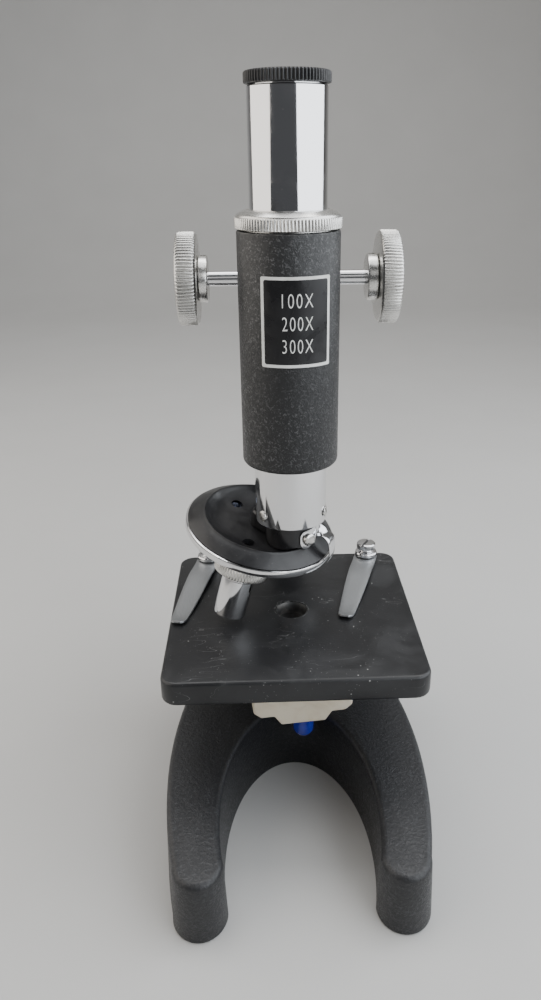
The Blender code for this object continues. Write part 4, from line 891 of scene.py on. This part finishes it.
def make_knob(name, outward):
    wheel_low, wheel_high = span("knob_wheel_" + name)
    hub_low, hub_high = span("knob_hub_" + name)
    ends = sorted(abs(x) for x in (wheel_low.x, wheel_high.x))
    hub_start, hub_end = sorted(abs(x) for x in (hub_low.x, hub_high.x))
    place = SHAFT @ outward
    turned_piece("knob_wheel_" + name, KNURLED, [
        (2.25, ends[1] - 0.35), (3.2, ends[1] - 0.3), (3.6, ends[1] - 0.05), (4.0, ends[1]),
        (KNOB_RADIUS - 1.3, ends[1]), (KNOB_RADIUS - 0.75, ends[1] - 0.12),
        (KNOB_RADIUS - 0.25, ends[1] - 0.5, 0.1), (KNOB_RADIUS, ends[1] - 0.95, 0.4),
        (KNOB_RADIUS, ends[0] + 0.95, 0.4), (KNOB_RADIUS - 0.25, ends[0] + 0.5, 0.1),
        (KNOB_RADIUS - 0.75, ends[0] + 0.12), (KNOB_RADIUS - 1.3, ends[0]), (2.25, ends[0]),
    ], place, KNOB_RIBS * 6, KNOB_RIBS)
    hub = turned("knob_hub_%s_shown" % name, [
        (2.25, hub_end), (HUB_RADIUS - 0.2, hub_end), (HUB_RADIUS, hub_end - 0.2),
        (HUB_RADIUS, hub_start + 0.5), (HUB_RADIUS - 0.15, hub_start + 0.15),
        (HUB_RADIUS - 0.5, hub_start), (2.25, hub_start),
    ], place)
    middle = place @ raised((hub_start + hub_end) / 2) @ ALONG_MINUS_X
    up = 1.0 if (middle.to_3x3() @ Vector((0.0, 0.0, 1.0))).z > 0 else -1.0
    upright = middle @ (turned_by("X", 180.0) if up < 0 else Matrix.Identity(4))
    cut(hub, rod("hole", 1.0, SHAFT_RADIUS, 9.0, upright))
    finished(hub, TURNED_FACE, "knob_hub_" + name)
    screw = rod("knob_set_screw_%s_shown" % name, 0.85, SHAFT_RADIUS + 0.3, HUB_RADIUS - 0.5,
                upright, SMALL, 0.15)
    slotted(screw, 4.0, 0.28, 0.8, upright @ raised(HUB_RADIUS - 0.5))
    finished(screw, SCREW_STEEL, "knob_set_screw_" + name)


def make_focus():
    low, high = span("focus_shaft")
    shaft = rod("focus_shaft_shown", SHAFT_RADIUS, low.x, high.x, SHAFT @ ALONG_X, PLAIN, 0.3)
    finished(shaft, BARREL_CHROME, "focus_shaft")
    make_knob("left", ALONG_MINUS_X)
    make_knob("right", ALONG_X)


# The sliding main tube and what is fixed to it ----------

TUBE_RADIUS = 10.7
NOSE_RADIUS = span("main_tube")[1].x
TUBE_BOTTOM = span("main_tube")[0].z
TUBE_TOP = span("main_tube")[1].z
TUBE_BORE = 9.6
BOSS_RADIUS = 8.0
BOSS_SCREW_Z = TUBE_BOTTOM + 3.4
BOSS_SCREWS = (("left", -143.0), ("right", -20.0))
SPRING_SCREW_Z = 90.5
SPRING_SCREW_TURN = -54.0
DISH_RADIUS = 19.4
DISH_TOP = 5.97
DISH_FLOOR = 3.2
RIM_RADIUS = 24.6
RIM_HEIGHT = 2.46
RIM_WIDTH = 1.9
LENS_CIRCLE = 13.32


def facing(degrees, height):
    """A place on the axis whose Z looks out at a turn round the tube."""
    return AXIS @ raised(height) @ turned_by("Z", degrees) @ ALONG_X


def make_main_tube():
    tube = turned("main_tube_shown", [
        (TUBE_BORE + 0.3, TUBE_TOP), (TUBE_RADIUS - 0.3, TUBE_TOP), (TUBE_RADIUS, TUBE_TOP - 0.3),
        (TUBE_RADIUS, 141.0), (NOSE_RADIUS, 140.6), (NOSE_RADIUS, TUBE_BOTTOM + 0.5),
        (NOSE_RADIUS - 0.12, TUBE_BOTTOM + 0.15), (NOSE_RADIUS - 0.45, TUBE_BOTTOM),
        (TUBE_BORE + 0.2, TUBE_BOTTOM), (TUBE_BORE, TUBE_BOTTOM + 0.2), (TUBE_BORE, TUBE_TOP - 0.3),
    ], steps=160)
    for name, degrees in BOSS_SCREWS:
        cut(tube, rod("hole", 1.3, 6.0, 14.0, facing(degrees, BOSS_SCREW_Z)))
    finished(tube, CHROME, "main_tube")
    for name, degrees in BOSS_SCREWS:
        domed_screw("nosepiece_screw_" + name, facing(degrees, BOSS_SCREW_Z) @ raised(11.0),
                    1.7, 0.7, 35.0, SCREW_STEEL, 0.8)


def boss_underside(gap):
    """The space that the turning cone needs under the plug."""
    return turned("underside", [
        (0.0, DISH_FLOOR + gap), (DISH_RADIUS - 7.8, DISH_FLOOR + gap),
        (DISH_RADIUS - 4.7, DISH_FLOOR + 0.45 + gap), (DISH_RADIUS - 2.4, DISH_FLOOR + 1.45 + gap),
        (DISH_RADIUS - 0.8, DISH_TOP + gap), (60.0, DISH_TOP + gap), (60.0, -40.0), (0.0, -40.0),
    ], TURRET)


def make_boss():
    boss = turned("nosepiece_boss_shown", [
        (0.0, TUBE_BOTTOM + 6.5), (TUBE_BORE - 0.1, TUBE_BOTTOM + 6.5),
        (TUBE_BORE - 0.1, TUBE_BOTTOM + 0.5), (BOSS_RADIUS, TUBE_BOTTOM + 0.5),
        (BOSS_RADIUS, 80.0), (0.0, 80.0),
    ])
    arm = block("arm", (LENS_CIRCLE, 7.4, 5.0),
                TURRET @ moved(LENS_CIRCLE / 2, 0.0, DISH_FLOOR + 2.4), 0.6)
    pad = rod("pad", 3.7, 2.8, 8.4, TURRET, PLAIN, 0.5)
    join(boss, arm, pad)
    cut(boss, rod("light_path", 4.2, 70.0, 120.0, AXIS, PLAIN), boss_underside(0.3),
        rod("thread", 2.1, 0.0, 12.0, TURRET))
    for _, degrees in BOSS_SCREWS:
        cut(boss, rod("hole", 1.0, 6.0, 14.0, facing(degrees, BOSS_SCREW_Z)))
    cut(boss, rod("hole", 1.0, 5.0, 14.0, facing(SPRING_SCREW_TURN, SPRING_SCREW_Z)))
    finished(boss, BOSS_ENAMEL, "nosepiece_boss")
    pivot = turned("turret_pivot_screw_shown", [
        (0.0, 7.6), (1.6, 7.6), (2.0, 7.2), (2.0, -0.3), (3.6, -0.3), (3.6, -1.2), (3.4, -1.7),
        (2.9, -2.0), (0.0, -2.0),
    ], TURRET, PLAIN)
    slotted(pivot, 9.0, 0.9, 1.4, TURRET @ raised(-2.0))
    finished(pivot, SCREW_STEEL, "turret_pivot_screw")


def round_boss(degrees, height):
    turn = math.radians(degrees)
    around = BOSS_RADIUS + 0.25
    return AXIS @ Vector((around * math.cos(turn) * MM, around * math.sin(turn) * MM, height * MM))


def round_rim(degrees, past, height):
    turn = math.radians(degrees)
    out = RIM_RADIUS + past
    heading = TURRET @ Vector((0.0, 0.0, height * MM))
    level = TURRET.to_3x3() @ Vector((out * math.cos(turn), out * math.sin(turn), 0.0))
    return heading + level * MM


# The ear wraps the boss: turn round the boss, and the heights of its two edges.
SPRING_EAR = (
    (-72.0, 89.75, 91.45), (-70.5, 88.7, 92.3), (-66.0, 87.7, 93.1), (-60.0, 87.45, 93.4),
    (-54.0, 87.5, 93.5), (-42.0, 87.9, 93.6), (-30.0, 88.4, 94.0), (-16.0, 89.0, 94.2),
)
# The free end bends down over the rim: reach past the rim and height above its underside.
SPRING_TIP = ((-2.8, 9.3), (-0.4, 8.0), (0.95, 4.0), (0.75, 1.4))


def make_click_spring():
    edges = ([], [])
    for degrees, low, high in SPRING_EAR:
        edges[0].append(round_boss(degrees, low))
        edges[1].append(round_boss(degrees, high))
    for past, height in SPRING_TIP:
        edges[0].append(round_rim(6.0, past, height))
        edges[1].append(round_rim(19.0 - 0.9 * (9.3 - height), past, height))
    lines = [smooth_line(edge, 6) for edge in edges]
    rows = [[low.lerp(high, share) for share in (0.0, 0.25, 0.5, 0.75, 1.0)]
            for low, high in zip(*lines)]
    leaf = thickened("click_spring_shown", rows, 0.4, 0.1)
    place = facing(SPRING_SCREW_TURN, SPRING_SCREW_Z)
    cut(leaf, rod("hole", 1.2, 5.0, 14.0, place))
    finished(leaf, BARREL_CHROME, "click_spring")
    domed_screw("click_spring_screw", place @ raised(8.85), 2.1, 1.4, 58.0,
                SCREW_STEEL, 0.8)


# The turret ----------

OBJECTIVES = (("300x", -70.5, 21.8), ("100x", 49.5, 14.5), ("200x", 169.5, 18.0))
TURRET_TILT = math.degrees(math.acos(Vector(JOINTS["turret_turn"]["axis"]).normalized().z))
BARREL_RADIUS = 5.2
RING_RADIUS = 8.6


def make_turret():
    cone = turned("turret_cone_shown", [
        (DISH_RADIUS - 0.7, DISH_TOP - 0.12), (DISH_RADIUS - 0.4, DISH_TOP),
        (DISH_RADIUS - 0.12, DISH_TOP - 0.04), (DISH_RADIUS + 0.1, DISH_TOP - 0.25),
        (DISH_RADIUS + 0.5, DISH_TOP - 0.5), (RIM_RADIUS - 0.75, RIM_HEIGHT + 0.5),
        (RIM_RADIUS - 0.6, RIM_HEIGHT + 0.3), (RIM_RADIUS - 0.8, RIM_HEIGHT + 0.12),
        (RIM_RADIUS - RIM_WIDTH - 0.1, RIM_HEIGHT + 0.1), (RIM_RADIUS - RIM_WIDTH - 0.1, 0.5),
        (RIM_RADIUS - RIM_WIDTH - 0.3, 0.4), (2.1, 0.4), (2.1, DISH_FLOOR),
        (DISH_RADIUS - 7.4, DISH_FLOOR), (DISH_RADIUS - 5.8, DISH_FLOOR + 0.1),
        (DISH_RADIUS - 4.4, DISH_FLOOR + 0.4), (DISH_RADIUS - 3.1, DISH_FLOOR + 0.85),
        (DISH_RADIUS - 2.0, DISH_FLOOR + 1.4), (DISH_RADIUS - 1.2, DISH_FLOOR + 2.05),
    ], TURRET, 160)
    rim = turned("turret_rim_shown", [
        (RIM_RADIUS - RIM_WIDTH, RIM_HEIGHT), (RIM_RADIUS - 0.45, RIM_HEIGHT),
        (RIM_RADIUS - 0.15, RIM_HEIGHT - 0.1), (RIM_RADIUS, RIM_HEIGHT - 0.4),
        (RIM_RADIUS, 0.35), (RIM_RADIUS - 0.1, 0.1), (RIM_RADIUS - 0.35, 0.0),
        (RIM_RADIUS - RIM_WIDTH, 0.0),
    ], TURRET, 200)
    finished(rim, CHROME, "turret_rim")
    for name, turn, length in OBJECTIVES:
        spot = TURRET @ turned_by("Z", turn) @ moved(LENS_CIRCLE, 0.0, 0.0)
        spot = spot @ turned_by("Y", -TURRET_TILT)
        cut(cone, rod("seat", 4.6, -6.0, 1.9, spot, PLAIN),
            rod("light", 1.9, -6.0, 9.0, spot, PLAIN))
        make_objective(name, spot, length)
    finished(cone, CONE_ENAMEL, "turret_cone")


def make_objective(name, spot, length):
    turned_piece("objective_barrel_" + name, CHROME, [
        (4.2, 1.6), (4.4, 1.4), (4.4, -3.2), (5.2, -3.2), (5.2, -3.9),
        (BARREL_RADIUS, -8.3), (BARREL_RADIUS - 0.15, -8.45), (BARREL_RADIUS - 0.15, -8.75),
        (BARREL_RADIUS, -8.9), (BARREL_RADIUS, 0.6 - length), (BARREL_RADIUS - 0.12, 0.25 - length),
        (BARREL_RADIUS - 0.5, -length), (2.8, -length), (2.4, 0.25 - length), (2.2, 0.9 - length),
        (2.2, 2.2 - length), (3.8, 2.2 - length), (3.8, 1.6),
    ], spot, 96)
    turned_piece("objective_ring_" + name, KNURLED, [
        (BARREL_RADIUS + 0.05, -3.5), (RING_RADIUS - 0.8, -3.5), (RING_RADIUS - 0.3, -3.65, 0.05),
        (RING_RADIUS, -4.0, 0.32), (RING_RADIUS, -6.7, 0.32), (RING_RADIUS - 0.3, -7.05, 0.05),
        (RING_RADIUS - 0.8, -7.2), (BARREL_RADIUS + 0.05, -7.2),
    ], spot, 336, 56)
    turned_piece("objective_lens_" + name, GLASS, [
        (0.0, 4.4 - length), (1.2, 4.25 - length), (2.2, 3.9 - length), (3.7, 3.2 - length),
        (3.7, 2.4 - length), (0.0, 2.4 - length),
    ], spot, PLAIN)


# The eyepiece ----------

def make_eyepiece():
    low, high = span("eyepiece_cap")
    radius, top, bottom = high.x, high.z, low.z
    turned_piece("eyepiece_cap", CAP_PLASTIC, [
        (7.6, top - 0.03), (8.2, top), (radius - 0.75, top), (radius - 0.35, top - 0.1, 0.05),
        (radius - 0.08, top - 0.35, 0.3), (radius, top - 0.65, 0.42), (radius, bottom + 0.55, 0.42),
        (radius - 0.1, bottom + 0.2, 0.3), (radius - 0.5, bottom + 0.05, 0.05),
        (radius - 0.9, bottom), (9.4, bottom), (9.4, top - 1.2), (4.0, top - 1.2),
        (4.2, top - 0.95), (4.8, top - 0.6), (6.0, top - 0.3),
    ], steps=504, flutes=72)
    foot = span("eyepiece_barrel")[0].z
    turned_piece("eyepiece_barrel", BARREL_CHROME, [
        (8.1, top - 1.5), (9.3, top - 1.5), (9.3, foot + 0.4), (9.1, foot + 0.1), (8.9, foot),
        (7.0, foot), (7.0, foot + 1.0), (8.0, foot + 1.0), (8.0, top - 1.6),
    ])
    turned_piece("eye_lens", GLASS, [
        (0.0, top - 2.0), (3.0, top - 2.08), (5.5, top - 2.3), (7.9, top - 2.65), (7.9, top - 4.0),
        (0.0, top - 4.0),
    ], steps=PLAIN)
    turned_piece("field_lens", GLASS, [
        (0.0, foot + 4.4), (3.0, foot + 4.15), (5.5, foot + 3.55), (7.9, foot + 2.6),
        (7.9, foot + 1.3), (0.0, foot + 1.3),
    ], steps=PLAIN)


# The lamp and mirror under the stage ----------

LAMP_HALF = 16.3
LAMP_STEP = 7.3
LAMP_DEPTH = 17.0
BULB_X = 1.3
BULB_RADIUS = 3.6
BULB_CENTRE_Z = -16.4
YOKE_INNER = LAMP_HALF + 0.9
YOKE_OUTER = YOKE_INNER + 2.2
YOKE_TOP = STAGE_BOTTOM - LAMP.translation.z / MM - 0.8


def make_yoke():
    outline = [(YOKE_OUTER, -3.0), (YOKE_OUTER, YOKE_TOP), (-YOKE_OUTER, YOKE_TOP),
               (-YOKE_OUTER, -3.0), (-YOKE_INNER, -3.0), (-YOKE_INNER, YOKE_TOP - 2.0),
               (YOKE_INNER, YOKE_TOP - 2.0), (YOKE_INNER, -3.0)]
    yoke = prism("lamp_yoke_shown", outline, -3.0, 3.0, LAMP @ UPRIGHT_XZ)
    bevelled(yoke, 0.6)
    join(yoke, block("strap", (9.0, 9.0, 1.96), LAMP @ raised(YOKE_TOP - 1.0), 0.4))
    cut(yoke, rod("hole", 1.6, 5.0, 25.0, LAMP))
    for outward in (ALONG_X, ALONG_MINUS_X):
        cut(yoke, rod("pivot", 1.3, YOKE_OUTER - 5.0, YOKE_OUTER + 5.0, LAMP @ outward))
    finished(yoke, SCREW_STEEL, "lamp_yoke")
    under = LAMP @ raised(YOKE_TOP - 2.3) @ turned_by("X", 180.0)
    domed_screw("lamp_swivel_screw", under, 2.9, 1.7, 20.0, SCREW_STEEL, 1.3)


def make_lamp():
    right = [(LAMP_HALF, 3.4), (LAMP_HALF, -3.2), (LAMP_HALF - 2.4, -5.2),
             (LAMP_STEP + 2.2, -5.2), (LAMP_STEP, -8.6)]
    outline = [(-x, z) for x, z in right] + [(x, z) for x, z in reversed(right)]
    housing = prism("lamp_housing_shown", outline, -LAMP_DEPTH / 2, LAMP_DEPTH / 2,
                    LAMP @ UPRIGHT_XZ)
    bevelled(housing, 0.7, 4, 25.0)
    cut(housing, rod("mirror_seat", 7.6, 1.9, 8.0, LAMP, PLAIN),
        rod("bulb_seat", 2.6, -12.0, -2.0, LAMP @ moved(BULB_X, 0.0, 0.0), PLAIN))
    for outward in (ALONG_X, ALONG_MINUS_X):
        cut(housing, rod("pivot", 1.15, LAMP_HALF - 4.0, LAMP_HALF + 4.0, LAMP @ outward))
    finished(housing, CREAM, "lamp_housing")
    for name, outward in (("left", ALONG_MINUS_X), ("right", ALONG_X)):
        place = LAMP @ outward @ raised(YOKE_OUTER + 0.3)
        pin = turned("lamp_pin_%s_shown" % name, [
            (0.0, 1.6), (1.4, 1.55), (2.1, 1.25), (2.4, 0.8), (2.4, 0.1), (1.0, 0.1),
            (1.0, -6.0), (0.0, -6.0),
        ], place, SMALL)
        slotted(pin, 7.0, 0.7, 1.2, place @ raised(1.6))
        finished(pin, SCREW_STEEL, "lamp_pin_" + name)
    mirror = rod("lamp_mirror_shown", 7.4, 2.2, 3.2, LAMP, PLAIN, 0.2)
    finished(mirror, MIRROR, "lamp_mirror")
    profile = [(0.0, -3.0), (2.4, -3.0), (2.4, -9.05), (3.2, -9.1), (3.5, -9.3)]
    profile += [(BULB_RADIUS, -9.8)]
    profile += arc((0.0, BULB_CENTRE_Z), BULB_RADIUS, 0.0, -90.0, 12)
    profile[-1] = (0.0, BULB_CENTRE_Z - BULB_RADIUS)
    turned_piece("lamp_bulb", BLUE, profile, LAMP @ moved(BULB_X, 0.0, 0.0), PLAIN)


make_base()
make_tilt_pin()
make_limb()
make_body_tube()
make_collar()
make_label()
make_stage()
make_clip("left")
make_clip("right")
make_focus()
make_main_tube()
make_boss()
make_click_spring()
make_turret()
make_eyepiece()
make_yoke()
make_lamp()
for node in ("focus_rack", "focus_pinion"):
    frame["nodes"][node].data.materials.clear()
    frame["nodes"][node].data.materials.append(SCREW_STEEL)


# The table, the light and the camera ----------

def floor_look():
    look = Look("pale_tabletop", (0.48, 0.475, 0.465), 0.6)
    look.colour(look.mixed(look.noise(60.0, 4.0), (0.46, 0.455, 0.445), (0.50, 0.495, 0.485)))
    look.bump(look.noise(2.0, 3.0), 0.02)
    return look.material


FLOOR_HALF = 2500.0
SWEEP_Y = 900.0
SWEEP_RADIUS = 500.0
SWEEP_TOP = 2500.0
line = [(-FLOOR_HALF, 0.0)] + arc((SWEEP_Y, SWEEP_RADIUS), SWEEP_RADIUS, -90.0, 0.0, 24)
line.append((SWEEP_Y + SWEEP_RADIUS, SWEEP_TOP))
points = [Vector((side * FLOOR_HALF, y, z)) * MM for y, z in line for side in (-1, 1)]
faces = [(2 * i, 2 * i + 1, 2 * i + 3, 2 * i + 2) for i in range(len(line) - 1)]
floor = mesh_object("tabletop", points, faces)
floor.data.materials.append(floor_look())
floor.data.shade_smooth()


def soft_light(name, middle, target, size, power, colour):
    """A rectangular soft box in metres that faces its target and stays out of the picture."""
    light = bpy.data.lights.new(name, "AREA")
    light.shape = "RECTANGLE"
    light.size, light.size_y = size
    light.energy = power
    light.color = colour
    lamp = bpy.data.objects.new(name, light)
    bpy.context.scene.collection.objects.link(lamp)
    lamp.location = middle
    lamp.rotation_euler = (Vector(target) - Vector(middle)).to_track_quat("-Z", "Y").to_euler()
    lamp.visible_camera = False
    return lamp


# Each soft box: name, middle, target, size, power, colour.
LIGHTS = (
    ("left_box", (-0.44, -0.005, 0.33), (0.0, -0.005, 0.14),
     (0.73, 0.5), 2.3, (1.0, 0.95, 0.88)),
    ("right_box", (0.352, -0.239, 0.33), (0.0, -0.192, 0.16),
     (1.03, 0.5), 5.6, (0.92, 0.96, 1.0)),
    ("top_box", (0.05, 0.10, 0.95), (0.0, 0.0, 0.1),
     (0.8, 0.8), 4.2, (0.98, 0.99, 1.0)),
    ("front_box", (0.05, -1.1, 0.75), (0.0, 0.0, 0.08),
     (0.9, 0.5), 0.7, (1.0, 0.99, 0.97)),
    ("back_box", (0.0, 0.55, 1.6), (0.0, 1.2, 0.3),
     (1.6, 0.8), 14.0, (1.0, 0.99, 0.97)),
)
for light in LIGHTS:
    soft_light(*light)

ROOM_COLOUR = (0.36, 0.37, 0.39, 1.0)
ROOM_STRENGTH = 0.22
world = bpy.data.worlds.new("room")
bpy.context.scene.world = world
world.use_nodes = True
world.node_tree.nodes["Background"].inputs["Color"].default_value = ROOM_COLOUR
world.node_tree.nodes["Background"].inputs["Strength"].default_value = ROOM_STRENGTH

CAMERA_PLACE = (-0.00853, -0.22129, 0.20072)
CAMERA_PITCH = 0.40682
CAMERA_ROLL = -0.00815
CAMERA_YAW = -0.036696
CAMERA_LENS = 28.81
CAMERA_SHIFT = (-0.0200, -0.0008)

camera = bpy.data.cameras.new("view")
camera.lens = CAMERA_LENS
camera.sensor_width = 36.0
camera.sensor_fit = "AUTO"
camera.shift_x, camera.shift_y = CAMERA_SHIFT
camera.clip_start = 0.01
viewer = bpy.data.objects.new("view", camera)
bpy.context.scene.collection.objects.link(viewer)
viewer.matrix_world = (Matrix.Translation(CAMERA_PLACE) @ Matrix.Rotation(CAMERA_YAW, 4, "Z")
                       @ Matrix.Rotation(math.pi / 2 - CAMERA_PITCH, 4, "X")
                       @ Matrix.Rotation(CAMERA_ROLL, 4, "Z"))
bpy.context.scene.camera = viewer
